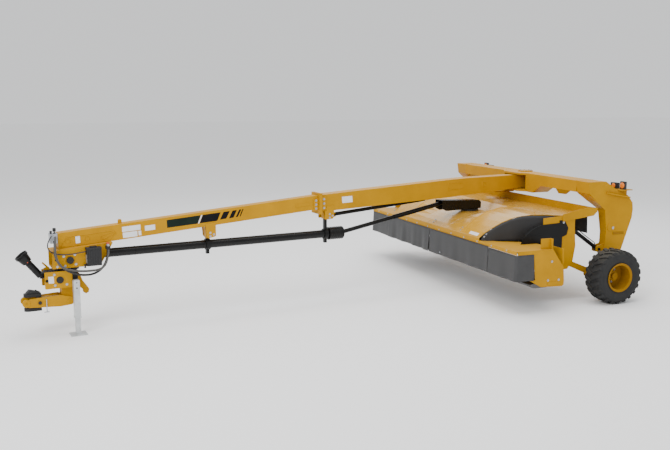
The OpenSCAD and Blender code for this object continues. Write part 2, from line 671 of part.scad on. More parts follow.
// Rubber flaps under the hood's slanted ends
flap_run = [hood_end_r - hood_end_f, header_front - 640];
flap_ang = atan2(flap_run[1], flap_run[0]);
module end_flaps() color(rubber) placed() for (m = [0, 1]) mirror([m, 0, 0])
  translate([hood_end_f, -header_front - 1, 0]) rotate([0, 0, flap_ang]) rotate([90, 0, 0])
    linear_extrude(7) polygon([[20, rail_top], [70, 985], [170, 1055], [300, 1132], [440, 1195], [600, 1240],
      [760, 1258], [1100, 1252], [1130, 1150], [900, 1090], [640, 1060], [420, 1000], [240, 930], [140, rail_top]]);

// Rear hood with its upright flange and end webs
module rear_hood() color(yellow) placed() {
  along_x([[-120, 1252], [-120, 1362], [-112, 1362], [-112, 1244], [-120, 1244]], -hood_end_r, hood_end_r);
  along_x([[-118, 1354], [-40, 1340], [-40, 1332], [-112, 1345]], -hood_end_r, hood_end_r);
  for (x = [-hood_end_r - plate_t, hood_end_r]) along_x([[-640, 1180], [-100, 1240], [-40, 1300], [-40, 1350],
    [-120, 1365], [-330, 1345], [-640, 1285]], x, x + plate_t);
}

// Rubber curtain behind the conditioner
module rear_curtain() color(rubber) placed() {
  x = lift_x - ear_gap - ear - 10;
  box([-x, -112, 960], [x, -105, 1244]);
}

// Header frame: side plates, cross tube, rear panels and the pin ears
module header_frame() color(yellow) placed() {
  box([-lift_x + ear_gap + eps, -560, 1060], [lift_x - ear_gap - eps, -420, 1180]);
  for (m = [0, 1]) mirror([m, 0, 0]) {
    difference() {
      along_x([[-960, hood_under(-960) - 30], [-640, hood_under(-640)], [-420, hood_under(-420)], [-420, 1100],
        [-395, 810], [-430, 600], [-520, 480], [-960, bed_top + 8.3]], plate_x - plate_t, plate_x);
      for (c = [roll_up, roll_lo]) cross_bar(plate_x - 50, plate_x + 10, c, roll_shaft_r + play);
    }
    box([plate_x - plate_t, -952, 430], [half_w - plate_t, -940, rail_top - 8]);
    for (x = [[lift_x - ear_gap - ear, lift_x - ear_gap], [lift_x + ear_gap, plate_x - plate_t + 1]]) {
      along_x([[-425, 600], [-425, 520], [-455, 505], [-490, 520], [-560, 600], [-560, 700], [-460, 700]], x[0], x[1]);
      along_x([[-640, 1130], [-620, 1232], [-420, 1232], [-420, 1060], [-562, 1060]], x[0], x[1]);
    }
    box([lift_x - ear_gap - ear, -620, 1222], [plate_x - plate_t + 1, -420, 1232]);
    box([lift_x - ear_gap - ear, -560, 640], [plate_x - plate_t + 1, -520, 700]);
    cross_bar(lift_x - ear_gap - ear, plate_x - plate_t, arm_head, lift_pin_r);
  }
}

// Cutterbar with its skid shoes
module cutterbar() color(steel) placed() difference() {
  along_x([[-1470, skid_z + 34], [-1430, skid_z + 6], [-1380, skid_z], [-1230, skid_z], [-1160, skid_z + 10],
    [-940, skid_z + 60], [-940, skid_z + 70], [-1160, bed_top], [-1440, bed_top], [-1470, bed_top - 12]],
    -half_w + plate_t, half_w - plate_t);
  for (i = [0 : disc_n - 1]) translate([(i - (disc_n - 1) / 2) * disc_pitch, disc_y, bed_top - 20])
    cylinder(h = 40, r = 25 + play);
}

// Base of the header gearbox in the hood's dish
module deck_gearbox() color(black) placed() {
  translate([0, gear_y, dish_z]) cylinder(h = shield_lo - 8 - dish_z, r = 140);
  translate([0, gear_y, dish_z]) cylinder(h = shield_lo + 32 - dish_z, r = 40);
}

// One cutter disc with two blades, the next one timed a quarter turn on
module disc(i) {
  translate([(i - (disc_n + 1) / 2) * disc_pitch, disc_y, 0]) {
    translate([0, 0, bed_top - 18]) cylinder(h = 26, r = 25);
    translate([0, 0, bed_top + 6]) rotate_extrude() polygon([[0, 0], [165, 0], [165, 6], [120, 20], [70, 46], [0, 52]]);
    for (a = [0, 180]) rotate([0, 0, a + 90 * (i % 2)]) translate([130, -22, bed_top + 6])
      cube([blade_r - 132, 44, 5]);
  }
}

module disc_1() color(steel) placed() disc(1);

module disc_2() color(steel) placed() disc(2);

module disc_3() color(steel) placed() disc(3);

module disc_4() color(steel) placed() disc(4);

module disc_5() color(steel) placed() disc(5);

module disc_6() color(steel) placed() disc(6);

module disc_7() color(steel) placed() disc(7);

module disc_8() color(steel) placed() disc(8);

module disc_9() color(steel) placed() disc(9);

// Conditioner roll with its raised bars
module roll(c, turn) {
  cross_bar(-plate_x + 1, plate_x - 1, c, roll_shaft_r);
  cross_bar(-plate_x + 45, plate_x - 45, c, roll_r);
  for (a = [0 : 45 : 315]) translate([0, c[0], c[1]]) rotate([a + turn, 0, 0])
    box([-plate_x + 55, -14, roll_r - 4], [plate_x - 55, 14, roll_r + 12]);
}

module roll_upper() color(black) placed() roll(roll_up, 0);

module roll_lower() color(black) placed() roll(roll_lo, 22.5);

// Frame of the header's swivelling gearbox: y rearward along the shaft
module on_gearbox() {
  placed() translate([0, gear_y, 0]) rotate([0, 0, drive_ang]) children();
}

// Guard box of the swivelling gearbox, open to the front and below
module gearbox_shield() color(black) on_gearbox() {
  w = shield_w / 2;
  difference() {
    union() {
      difference() {
        along_x([[-640, 1200], [-640, shield_top], [120, shield_top - 40], [160, shield_top - 70], [160, shield_lo],
          [-560, shield_lo]], -w, w);
        along_x([[-641, 1150], [-641, shield_top - 8], [118, shield_top - 48], [152, shield_top - 74],
          [152, shield_lo - 1], [-300, shield_lo - 10]], -w + 6, w - 6);
      }
      box([-w, -75, shield_lo], [w, 75, shield_lo + 60]);
    }
    translate([0, 0, shield_lo - 1]) cylinder(h = 36, r = 40 + play);
    cross_bar(-200, 200, [-joint_s, joint_z], 14 + play);
  }
}

// Rear driveline shaft from the guard box to the hanger's bell
drive_p = [0, -joint_s, joint_z];
drive_span = norm([drive_front_s * sin(swing), -drive_front_s * cos(swing) - gear_y]);
drive_q = [0, -drive_span, drive_front_z];
drive_dir = (drive_q - drive_p) / norm(drive_q - drive_p);
module driveline_shaft() color(black) on_gearbox() {
  cross_bar(-shield_w / 2 - 4, shield_w / 2 + 4, [-joint_s, joint_z], 14);
  bar(drive_p - 30 * drive_dir, drive_p + 140 * drive_dir, 22);
  bar(drive_p + 112 * drive_dir, drive_p + 1000 * drive_dir, 36);
  bar(drive_p + 950 * drive_dir, drive_q, 31);
}

arch_beam();
leg_left();
leg_right();
pivot_pin();
spindles();
lamps();
tyre_left();
rim_left();
tyre_right();
rim_right();
tongue_rear();
tongue_front();
gearbox_housing();
upper_gearbox();
hanger_brackets();
hanger_posts();
driveline_tube();
driveline_guard();
manual_box();
valve_block();
hose_upper();
hose_lower();
hose_cable();
swing_barrel();
swing_rod();
hitch_housing();
lower_gearbox();
pto_shaft();
drawbar();
hitch_clevis();
jack_tube();
jack_leg();
lift_arms();
lift_barrels();
lift_rods();
hood();
end_left();
end_right();
front_rail();
front_curtain();
end_flaps();
rear_hood();
rear_curtain();
header_frame();
cutterbar();
deck_gearbox();
inner_panels();
disc_1();
disc_2();
disc_3();
disc_4();
disc_5();
disc_6();
disc_7();
disc_8();
disc_9();
roll_upper();
roll_lower();
gearbox_shield();
driveline_shaft();
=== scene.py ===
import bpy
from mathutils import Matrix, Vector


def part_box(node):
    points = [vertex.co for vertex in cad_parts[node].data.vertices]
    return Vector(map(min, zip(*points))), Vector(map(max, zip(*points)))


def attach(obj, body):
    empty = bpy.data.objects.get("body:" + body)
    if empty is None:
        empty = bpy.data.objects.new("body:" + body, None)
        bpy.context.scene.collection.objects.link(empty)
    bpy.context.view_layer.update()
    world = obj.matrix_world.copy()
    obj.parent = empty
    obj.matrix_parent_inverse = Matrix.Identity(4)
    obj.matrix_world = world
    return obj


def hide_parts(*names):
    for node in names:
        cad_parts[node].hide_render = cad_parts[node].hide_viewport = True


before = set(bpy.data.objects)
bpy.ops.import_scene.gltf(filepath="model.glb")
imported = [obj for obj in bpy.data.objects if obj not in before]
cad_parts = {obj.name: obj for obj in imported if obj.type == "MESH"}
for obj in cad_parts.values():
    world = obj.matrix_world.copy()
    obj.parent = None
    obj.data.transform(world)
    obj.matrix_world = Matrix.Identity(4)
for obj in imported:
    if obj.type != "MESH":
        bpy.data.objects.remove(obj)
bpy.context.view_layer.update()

import math
import bpy
import bmesh
from mathutils import Vector

# Studio. A pale matt floor under the wheels and the jack's foot, with soft daylight from above,
# and the camera where the photographer stood, off the left front corner and about three metres up.
GROUND = -0.435  # the floor's height in the frame, metres
SWING = math.radians(7.0)  # the parked tongue's turn to the left
REACH = 7.925  # from the tongue's pivot to the frame's origin, metres
FLOOR_HALF = 90  # metres
EYE = (11520, -7904, 2938)  # the camera's place, millimetres
AZIMUTH, ELEVATION = math.radians(68.705), math.radians(8.854)


def machine(x, y, z):
    """Millimetres from the ground under the tongue's pivot, as metres in the frame."""
    return Vector((x / 1000 - REACH * math.sin(SWING),
                   y / 1000 + REACH * math.cos(SWING),
                   z / 1000 + GROUND))


def shown(name, data):
    """A new object in the scene for a mesh, curve, light or camera."""
    thing = bpy.data.objects.new(name, data)
    bpy.context.scene.collection.objects.link(thing)
    return thing


def feed(tree, node, inputs):
    """Each input of a node, by name or number, is linked to an output socket or set to a value."""
    for key, value in inputs.items():
        if isinstance(value, bpy.types.NodeSocket):
            tree.links.new(value, node.inputs[key])
        else:
            node.inputs[key].default_value = value


floor_mesh = bpy.data.meshes.new("studio_floor")
floor_mesh.from_pydata([(x * FLOOR_HALF, y * FLOOR_HALF, GROUND - 0.001)
                        for x, y in ((-1, -1), (1, -1), (1, 1), (-1, 1))], [], [(0, 1, 2, 3)])
floor_finish = bpy.data.materials.new("pale_floor")
floor_finish.use_nodes = True
feed(floor_finish.node_tree, floor_finish.node_tree.nodes["Principled BSDF"],
     {"Base Color": (0.96, 0.96, 0.96, 1), "Roughness": 0.9, "Specular IOR Level": 0.1})
floor_mesh.materials.append(floor_finish)
floor = shown("studio_floor", floor_mesh)

world = bpy.data.worlds.new("soft_daylight")
bpy.context.scene.world = world
world.use_nodes = True
feed(world.node_tree, world.node_tree.nodes["Background"],
     {"Color": (0.98, 0.99, 1.0, 1), "Strength": 0.95})
for name, place, aim, size, power in (
        ("key_light", (9, -6, 10), (0.5, 4.5, 0.3), 7, 1250),
        ("top_light", (0, 5, 11), (0.5, 5.0, 0.3), 10, 1000),
        ("fill_light", (-8, 10, 6), (0, 6, 0.5), 7, 150)):
    lamp_data = bpy.data.lights.new(name, "AREA")
    lamp_data.size = size
    lamp_data.energy = power
    lamp = shown(name, lamp_data)
    lamp.location = place
    lamp.rotation_euler = (Vector(aim) - Vector(place)).to_track_quat("-Z", "Y").to_euler()

camera_data = bpy.data.cameras.new("photographer")
camera_data.sensor_width = 36
camera_data.lens = 43.84
camera_data.clip_end = 300
camera = shown("photographer", camera_data)
camera.location = machine(*EYE)
level = math.cos(ELEVATION)
gaze = Vector((-math.sin(AZIMUTH) * level, math.cos(AZIMUTH) * level, -math.sin(ELEVATION)))
camera.rotation_euler = gaze.to_track_quat("-Z", "Y").to_euler()
bpy.context.scene.camera = camera

# Carrier. The welded arch of beam and legs, painted mustard yellow over steel plate, with its pivot pin
# and spindles; the paint has a slight orange peel, a little dust on top and duller patches.
FIELD_DUST = (0.80, 0.70, 0.48, 1)
MIX_SHARE, MIX_UNDER, MIX_OVER, MIX_RESULT = 0, 6, 7, 2  # sockets of a Mix node for colours
PAIR = (1, -1)  # left, right
UP, BEHIND, ACROSS = Vector((0, 0, 1)), Vector((0, 1, 0)), Vector((1, 0, 0))
AXLE = 393.5  # wheel centres over the ground
LEG_FACE = 1900  # outer faces of the legs, from the middle


def add(tree, kind, inputs=None, **settings):
    """A new node of this kind with these settings and inputs."""
    node = tree.nodes.new(kind)
    for key, value in settings.items():
        setattr(node, key, value)
    feed(tree, node, inputs or {})
    return node


def finish(name, low, high, rough, metal=0.0, grain=3.0, peel=0.02, peel_scale=260.0,
           dust=0.0, coat=0.0, spec=0.5):
    """A worked surface: two tones that drift over it, a roughness that follows them and a fine relief."""
    mat = bpy.data.materials.new(name)
    mat.use_nodes = True
    tree = mat.node_tree
    place = add(tree, "ShaderNodeTexCoord").outputs["Object"]
    drift = add(tree, "ShaderNodeTexNoise",
                {"Vector": place, "Scale": grain, "Detail": 6, "Roughness": 0.6}).outputs["Fac"]
    tones = add(tree, "ShaderNodeValToRGB", {"Fac": drift})
    for element, position, tone in zip(tones.color_ramp.elements, (0.3, 0.72), (low, high)):
        element.position = position
        element.color = (*tone, 1)
    colour = tones.outputs["Color"]
    if dust > 0:
        facing = add(tree, "ShaderNodeNewGeometry").outputs["Normal"]
        upward = add(tree, "ShaderNodeSeparateXYZ", {"Vector": facing}).outputs["Z"]
        settle = add(tree, "ShaderNodeMapRange",
                     {"Value": upward, "From Min": 0.55, "From Max": 1.0, "To Max": dust})
        dusty = add(tree, "ShaderNodeMix", {MIX_SHARE: settle.outputs["Result"], MIX_UNDER: colour,
                                            MIX_OVER: FIELD_DUST}, data_type="RGBA")
        colour = dusty.outputs[MIX_RESULT]
    dull = add(tree, "ShaderNodeMapRange", {"Value": drift, "From Min": 0.3, "From Max": 0.7,
                                            "To Min": rough[0], "To Max": rough[1]})
    skin = add(tree, "ShaderNodeTexNoise", {"Vector": place, "Scale": peel_scale, "Detail": 2})
    relief = add(tree, "ShaderNodeBump",
                 {"Height": skin.outputs["Fac"], "Strength": peel, "Distance": 0.004})
    feed(tree, tree.nodes["Principled BSDF"], {
        "Base Color": colour, "Roughness": dull.outputs["Result"], "Normal": relief.outputs["Normal"],
        "Metallic": metal, "Coat Weight": coat, "Coat Roughness": 0.12, "Specular IOR Level": spec})
    return mat


def dress(mat, *nodes):
    """The CAD nodes named take this finish in place of their plain one."""
    for n in nodes:
        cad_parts[n].data.materials.clear()
        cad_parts[n].data.materials.append(mat)


mustard = finish("mustard_paint", (0.43, 0.207, 0.0003), (0.51, 0.252, 0.0005), (0.36, 0.5),
                 dust=0.04, spec=0.1)
# A deeper mustard: the rims' own paint, which the carrier's plates also take as painted shade.
deep_mustard_and_painted_shade = finish("deep_mustard_and_painted_shade_paint", (0.25, 0.118, 0.0003), (0.32, 0.152, 0.0005), (0.4, 0.55),
                      dust=0.03, spec=0.12)
zinc = finish("zinc_plate", (0.38, 0.40, 0.43), (0.52, 0.54, 0.57), (0.3, 0.5), metal=0.85, grain=14)
dress(mustard, "arch_beam", "leg_left", "leg_right", "pivot_pin")
dress(zinc, "spindles")


def fixed(name, data, body):
    """A piece of this mesh or curve that moves with a body."""
    piece = shown(name, data)
    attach(piece, body)
    return piece


def made_by(tree, name, points, edges, values, body, marks=()):
    """The plain mesh that a tree makes from these points, riding on a body."""
    seed = bpy.data.meshes.new(name + "_seed")
    seed.from_pydata(points, edges, [])
    for label, kind, data in marks:
        layer = seed.attributes.new(label, kind, "POINT")
        layer.data.foreach_set("vector" if kind == "FLOAT_VECTOR" else "value", data)
    maker = shown(name + "_seed", seed)
    work = maker.modifiers.new("make", "NODES")
    work.node_group = tree
    for item in tree.interface.items_tree:
        if item.in_out == "INPUT" and item.name in values:
            work[item.identifier] = values[item.name]
    bpy.context.view_layer.update()
    result = bpy.data.meshes.new_from_object(maker.evaluated_get(bpy.context.evaluated_depsgraph_get()))
    maker.modifiers.remove(work)
    bpy.data.objects.remove(maker)
    result.name = name
    fixed(name, result, body)


def new_tree(name, *inputs):
    """An empty geometry tree with named inputs; gives the tree, its input and its output node."""
    tree = bpy.data.node_groups.new(name, "GeometryNodeTree")
    tree.interface.new_socket(name="Geometry", in_out="INPUT", socket_type="NodeSocketGeometry")
    for label, kind, value in inputs:
        socket = tree.interface.new_socket(name=label, in_out="INPUT", socket_type=kind)
        if value is not None:
            socket.default_value = value
    tree.interface.new_socket(name="Geometry", in_out="OUTPUT", socket_type="NodeSocketGeometry")
    return tree, add(tree, "NodeGroupInput"), add(tree, "NodeGroupOutput")


def close_tree(tree, given, end, geometry):
    """Realize Instances and Set Material at the end of a tree."""
    real = add(tree, "GeometryNodeRealizeInstances", {"Geometry": geometry})
    paint = add(tree, "GeometryNodeSetMaterial",
                {"Geometry": real.outputs["Geometry"], "Material": given.outputs["Finish"]})
    feed(tree, end, {"Geometry": paint.outputs["Geometry"]})


bolt_tree, given, end = new_tree(
    "flanged_bolts", ("Head height", "NodeSocketFloat", 0.8), ("Flange width", "NodeSocketFloat", 1.45),
    ("Flange height", "NodeSocketFloat", 0.28), ("Finish", "NodeSocketMaterial", None))
head = add(bolt_tree, "GeometryNodeMeshCylinder",
           {"Vertices": 6, "Radius": 1.0, "Depth": given.outputs["Head height"]})
flange = add(bolt_tree, "GeometryNodeMeshCylinder", {
    "Vertices": 14, "Radius": given.outputs["Flange width"], "Depth": given.outputs["Flange height"]})
rise = add(bolt_tree, "ShaderNodeMath", {0: given.outputs["Head height"], 1: 0.5}, operation="MULTIPLY")
lift = add(bolt_tree, "ShaderNodeCombineXYZ", {"Z": rise.outputs[0]})
stand = add(bolt_tree, "GeometryNodeTransform",
            {"Geometry": head.outputs["Mesh"], "Translation": lift.outputs["Vector"]})
both = add(bolt_tree, "GeometryNodeJoinGeometry", {"Geometry": stand.outputs["Geometry"]})
feed(bolt_tree, both, {"Geometry": flange.outputs["Mesh"]})
aim_mark = add(bolt_tree, "GeometryNodeInputNamedAttribute", {"Name": "aim"}, data_type="FLOAT_VECTOR")
size_mark = add(bolt_tree, "GeometryNodeInputNamedAttribute", {"Name": "size"}, data_type="FLOAT")
turn = add(bolt_tree, "FunctionNodeAlignRotationToVector",
           {"Vector": aim_mark.outputs["Attribute"]}, axis="Z")
spread = add(bolt_tree, "GeometryNodeInstanceOnPoints", {
    "Points": given.outputs["Geometry"], "Instance": both.outputs["Geometry"],
    "Rotation": turn.outputs["Rotation"], "Scale": size_mark.outputs["Attribute"]})
close_tree(bolt_tree, given, end, spread.outputs["Instances"])


def bolts(name, body, places, mat=zinc, height=0.8):
    """Flanged hexagon heads at (point, outward direction, radius in millimetres)."""
    points, aims, radii = zip(*places)
    made_by(bolt_tree, name, list(points), [], {"Finish": mat, "Head height": height}, body,
            (("aim", "FLOAT_VECTOR", [c for aim in aims for c in aim]),
             ("size", "FLOAT", [r / 1000 for r in radii])))


bead_tree, given, end = new_tree(
    "beads_along_edges", ("Bead radius", "NodeSocketFloat", 0.003), ("Bead sides", "NodeSocketInt", 8),
    ("Finish", "NodeSocketMaterial", None))
follow = add(bead_tree, "GeometryNodeMeshToCurve", {"Mesh": given.outputs["Geometry"]})
section = add(bead_tree, "GeometryNodeCurvePrimitiveCircle",
              {"Resolution": given.outputs["Bead sides"], "Radius": given.outputs["Bead radius"]})
sweep = add(bead_tree, "GeometryNodeCurveToMesh", {
    "Curve": follow.outputs["Curve"], "Profile Curve": section.outputs["Curve"], "Fill Caps": True})
soften = add(bead_tree, "GeometryNodeSetShadeSmooth", {"Geometry": sweep.outputs["Mesh"]})
close_tree(bead_tree, given, end, soften.outputs["Geometry"])


def beads(name, body, mat, lines, radius, closed=False):
    """Round beads along lines of points, such as welds, folds and bent rod; radius in millimetres."""
    points, edges = [], []
    for line in lines:
        first = len(points)
        points += line
        edges += [(first + i, first + i + 1) for i in range(len(line) - 1)]
        if closed:
            edges.append((len(points) - 1, first))
    made_by(bead_tree, name, points, edges,
            {"Finish": mat, "Bead radius": radius / 1000, "Bead sides": 8}, body)


def to_mesh(bm, name, mat):
    """The plain mesh of a bmesh, which is freed, in one finish."""
    mesh = bpy.data.meshes.new(name)
    bm.to_mesh(mesh)
    bm.free()
    mesh.materials.append(mat)
    return mesh


def plates(name, body, mat, items, edge=0.8):
    """Flat plates with eased edges, from (corners, outward direction, thickness); millimetres."""
    bm = bmesh.new()
    for corners, out, thick in items:
        out = Vector(out).normalized()
        face = bm.faces.new([bm.verts.new(c) for c in corners])
        face.normal_update()
        if face.normal.dot(out) > 0:
            face.normal_flip()
        top = bmesh.ops.extrude_face_region(bm, geom=[face])
        raised = [g for g in top["geom"] if isinstance(g, bmesh.types.BMVert)]
        bmesh.ops.translate(bm, vec=out * thick / 1000, verts=raised)
    bmesh.ops.recalc_face_normals(bm, faces=bm.faces)
    if edge > 0:
        bmesh.ops.bevel(bm, geom=list(bm.edges), offset=edge / 1000, segments=2, affect="EDGES", profile=0.6)
    fixed(name, to_mesh(bm, name, mat), body)


def both_sides(place, left, x, outlines, thick):
    """The same outlines (along, up) as plates on a left and a right face, x from the middle."""
    return [([place(m * x, a, z) for a, z in outline], left * m, thick) for m in PAIR for outline in outlines]


def both_lines(place, x, line):
    """The same line (along, up) on the left and on the right, x from the middle."""
    return [[place(m * x, a, z) for a, z in line] for m in PAIR]


def circle(radius, count, start=0):
    """Points round a circle, as a list of pairs, from a start angle in degrees."""
    return [(radius * math.cos(a), radius * math.sin(a))
            for a in (math.radians(360 / count * k + start) for k in range(count))]


carrier_bolts = [(machine(x, y, 1746), UP, 11) for x, y in circle(95, 8, 22)]
for m in PAIR:
    outward = Vector((m, 0, 0))
    carrier_bolts.append((machine(m * LEG_FACE, 252, 1040), outward, 20))
    carrier_bolts += [(machine(m * 1920, 60 + y, AXLE + z), outward, 8) for y, z in circle(58, 6)]
bolts("carrier_bolts", "carrier", carrier_bolts)
leg_plates = both_sides(machine, ACROSS, LEG_FACE, [[(261, 938), (459, 934), (459, 974), (261, 978)]], 6)
beam_plate = ((1104, 1560), (1452, 1560), (1353, 1498), (1178, 1492))
# The leg plates and the plates under the beam take the deeper mustard as painted shade, darker for their
# recessed and underside places.
plates("carrier_plates", "carrier", deep_mustard_and_painted_shade,
       leg_plates + [([machine(m * x, -196, z) for x, z in beam_plate], BEHIND, 14) for m in PAIR])
plates("leg_ledges", "carrier", mustard,
       both_sides(machine, ACROSS, LEG_FACE, [[(100, 1574), (520, 1495), (520, 1476), (100, 1555)]], 45),
       edge=3)
beads("carrier_welds", "carrier", mustard,
      both_lines(machine, 1600, [(100, 1562), (100, 1730), (-200, 1730), (-200, 1562)])
      + both_lines(machine, 330, [(-200, 1728), (-200, 1462)]), 5)

# Road lamps. Black plastic housings on shelves at the arch's shoulders, each with a domed lens
# of amber plastic ahead and one of red plastic behind.
AHEAD = Vector((0, -1, 0))
POINT = 0.05  # least radius of a turned piece's tip, millimetres
lamp_plastic = finish("lamp_plastic", (0.012, 0.012, 0.013), (0.02, 0.02, 0.021), (0.4, 0.55), peel=0.05)
amber_lens = finish("amber_lens", (0.75, 0.16, 0.005), (0.85, 0.22, 0.01), (0.08, 0.16),
                    grain=40, peel=0.3, peel_scale=120, coat=0.4)
red_lens = finish("red_lens", (0.42, 0.012, 0.01), (0.52, 0.02, 0.014), (0.08, 0.16),
                  grain=40, peel=0.3, peel_scale=120, coat=0.4)
dress(lamp_plastic, "lamps")


def turned(name, body, mat, items, sides=32):
    """Turned pieces from (start point, axis direction, [(millimetres along, radius), ...])."""
    bm = bmesh.new()
    for start, axis, profile in items:
        axis = Vector(axis).normalized()
        side = axis.orthogonal().normalized()
        other = axis.cross(side)
        rings = []
        for along, radius in profile:
            middle = Vector(start) + axis * along / 1000
            spokes = [side * math.cos(a) + other * math.sin(a)
                      for a in (2 * math.pi * k / sides for k in range(sides))]
            rings.append([bm.verts.new(middle + spoke * max(radius, POINT) / 1000) for spoke in spokes])
        for low, high in zip(rings, rings[1:]):
            for k in range(sides):
                after = (k + 1) % sides
                bm.faces.new((low[k], low[after], high[after], high[k]))
        bm.faces.new(rings[0][::-1])
        bm.faces.new(rings[-1])
    bmesh.ops.recalc_face_normals(bm, faces=bm.faces)
    mesh = to_mesh(bm, name, mat)
    mesh.polygons.foreach_set("use_smooth", [len(p.vertices) == 4 for p in mesh.polygons])
    mesh.set_sharp_from_angle(angle=math.radians(40))
    fixed(name, mesh, body)


turned("lamp_lenses_amber", "carrier", amber_lens,
       [(machine(m * x, y, z), AHEAD, dome) for x, y, z, dome in (
           (1890, 400, 1661, [(0, 44), (5, 44), (9, 40), (12, 26), (13, 0)]),
           (1725, 380, 1646, [(0, 36), (5, 36), (9, 32), (11, 20), (12, 0)])) for m in PAIR])
turned("lamp_lenses_red", "carrier", red_lens,
       [(machine(m * x, 440, z), BEHIND, [(0, r), (5, r), (9, r - 4), (12, r * 0.6), (13, 0)])
        for m in PAIR for x, z, r in ((1890, 1661, 44), (1725, 1646, 36))])

# Wheels. Lugged implement tyres of matt black rubber on deep yellow rims,
# with a ring of wheel nuts and a turned dust cap on each hub.
HUB_FACE, HUB_BACK = 2151, 50  # from the middle, and behind the pivot
tyre_rubber = finish("tyre_rubber", (0.016, 0.016, 0.017), (0.03, 0.03, 0.029), (0.72, 0.9),
                     grain=9, peel=0.12, peel_scale=420, dust=0.05, spec=0.3)
dress(tyre_rubber, "tyre_left", "tyre_right")
dress(deep_mustard_and_painted_shade, "rim_left", "rim_right")
for side, m in (("left", 1), ("right", -1)):
    outward = Vector((m, 0, 0))
    nuts = [(machine(m * HUB_FACE, HUB_BACK + y, AXLE + z), outward, 11) for y, z in circle(102, 8, 10)]
    bolts(f"wheel_nuts_{side}", f"wheel_{side}", nuts, height=1.3)
    cap = [(0, 66), (6, 66), (10, 60), (28, 58), (36, 50), (40, 30), (41, 0)]
    turned(f"hub_cap_{side}", f"wheel_{side}", zinc,
           [(machine(m * HUB_FACE, HUB_BACK, AXLE), outward, cap)])

# Tongue. Two box sections bolted at a flange, painted yellow, with stripes and blank label plates on both
# sides, weld outlines of the inner gussets and the upper gearbox's housing; its swing cylinder is black.
FRONT_FACE, REAR_FACE, HOUSING_FACE = 80, 100, 150  # half widths of the sections and the housing
FRONT_FLANGE, REAR_FLANGE, CHEEK, FILM = 14, 12, 8, 0.8  # thicknesses; film is a stripe or a label
LEFT = Vector((math.cos(SWING), math.sin(SWING), 0))
FORWARD = Vector((math.sin(SWING), -math.cos(SWING), 0))
gloss_black = finish("black_enamel", (0.003, 0.003, 0.003), (0.007, 0.007, 0.007), (0.3, 0.45), spec=0.2)
cast_black = finish("cast_black", (0.010, 0.010, 0.010), (0.02, 0.02, 0.02), (0.5, 0.7),
                    grain=20, peel=0.15, peel_scale=180, spec=0.35)
stripe_black = finish("stripe_black", (0.003, 0.003, 0.004), (0.005, 0.005, 0.007), (0.34, 0.44),
                      grain=6, peel=0.0, spec=0.12)
stripe_green = finish("stripe_dark_green", (0.005, 0.012, 0.008), (0.008, 0.018, 0.012), (0.34, 0.44),
                      grain=6, peel=0.0, spec=0.12)
label_white = finish("label_white", (0.72, 0.73, 0.75), (0.80, 0.81, 0.83), (0.4, 0.5), grain=9, peel=0.0)
dress(mustard, "tongue_rear", "tongue_front", "gearbox_housing")
dress(cast_black, "upper_gearbox")
dress(gloss_black, "swing_barrel")
dress(zinc, "swing_rod")


def on_tongue(x, s, z):
    """Millimetres beside the tongue's middle, ahead of its pivot and over the ground, as metres."""
    return machine(x * math.cos(SWING) + s * math.sin(SWING), x * math.sin(SWING) - s * math.cos(SWING), z)


def tongue_sides(x, outlines, thick):
    """Plates with these outlines (ahead, up) on the left and the right face of the tongue."""
    return both_sides(on_tongue, LEFT, x, outlines, thick)


def ring(s, z, radius, count=20):
    """A circle's outline (ahead, up) round a point on a side face."""
    return [(s + a, z + b) for a, b in circle(radius, count)]


plates("tongue_stripes", "tongue", stripe_black, tongue_sides(FRONT_FACE, [
    [(5672, 1386), (5419, 1404), (5468, 1292), (5719, 1276)],
    [(5375, 1406), (5286, 1413), (5340, 1314), (5429, 1305)],
    [(5245, 1416), (5183, 1421), (5233, 1321), (5299, 1314)],
    [(5148, 1423), (5117, 1426), (5169, 1328), (5201, 1323)],
    [(5102, 1427), (5083, 1429), (5129, 1331), (5145, 1329)]], FILM), edge=0)
plates("tongue_stripe_green", "tongue", stripe_green, tongue_sides(FRONT_FACE, [
    [(6169, 1350), (5700, 1384), (5745, 1273), (6165, 1247)]], FILM), edge=0)
front_labels = tongue_sides(FRONT_FACE, [
    [(5695, 1384), (5677, 1385), (5724, 1275), (5742, 1274)],
    [(6756, 1304), (6519, 1317), (6518, 1250), (6757, 1238)],
    [(6750, 1228), (6562, 1238), (6561, 1168), (6748, 1158)],
    [(6549, 1236), (6512, 1238), (6510, 1178), (6545, 1176)],
    [(6462, 1296), (6327, 1305), (6325, 1238), (6460, 1230)],
    [(7343, 1226), (7287, 1230), (7283, 1142), (7338, 1138)]], FILM)
rear_label = tongue_sides(REAR_FACE, [[(3552, 1512), (3380, 1516), (3372, 1424), (3544, 1418)]], FILM)
plates("tongue_labels", "tongue", label_white, front_labels + rear_label, edge=0)
TONGUE_PLATES = (  # face, thickness, outline (ahead, up): a pad, the flange's halves, the hangers' cheeks
    (FRONT_FACE, 5, [(4290, 1440), (4075, 1456), (4075, 1412), (4290, 1398)]),
    (FRONT_FACE, FRONT_FLANGE, [(4010, 1500), (3931, 1508), (3931, 1340), (4010, 1336)]),
    (REAR_FACE, REAR_FLANGE, [(3889, 1530), (3815, 1532), (3815, 1338), (3889, 1334)]),
    (FRONT_FACE, CHEEK, [(5640, 1262), (5492, 1272), (5492, 1092), (5502, 1080), (5600, 1060), (5622, 1080)]),
    (REAR_FACE, CHEEK, [(3810, 1389), (3684, 1396), (3684, 1232), (3706, 1200), (3828, 1195), (3836, 1210),
                        (3836, 1325), (3810, 1325)]))
plates("tongue_plates", "tongue", mustard,
       [plate for x, thick, outline in TONGUE_PLATES for plate in tongue_sides(x, [outline], thick)], edge=2)
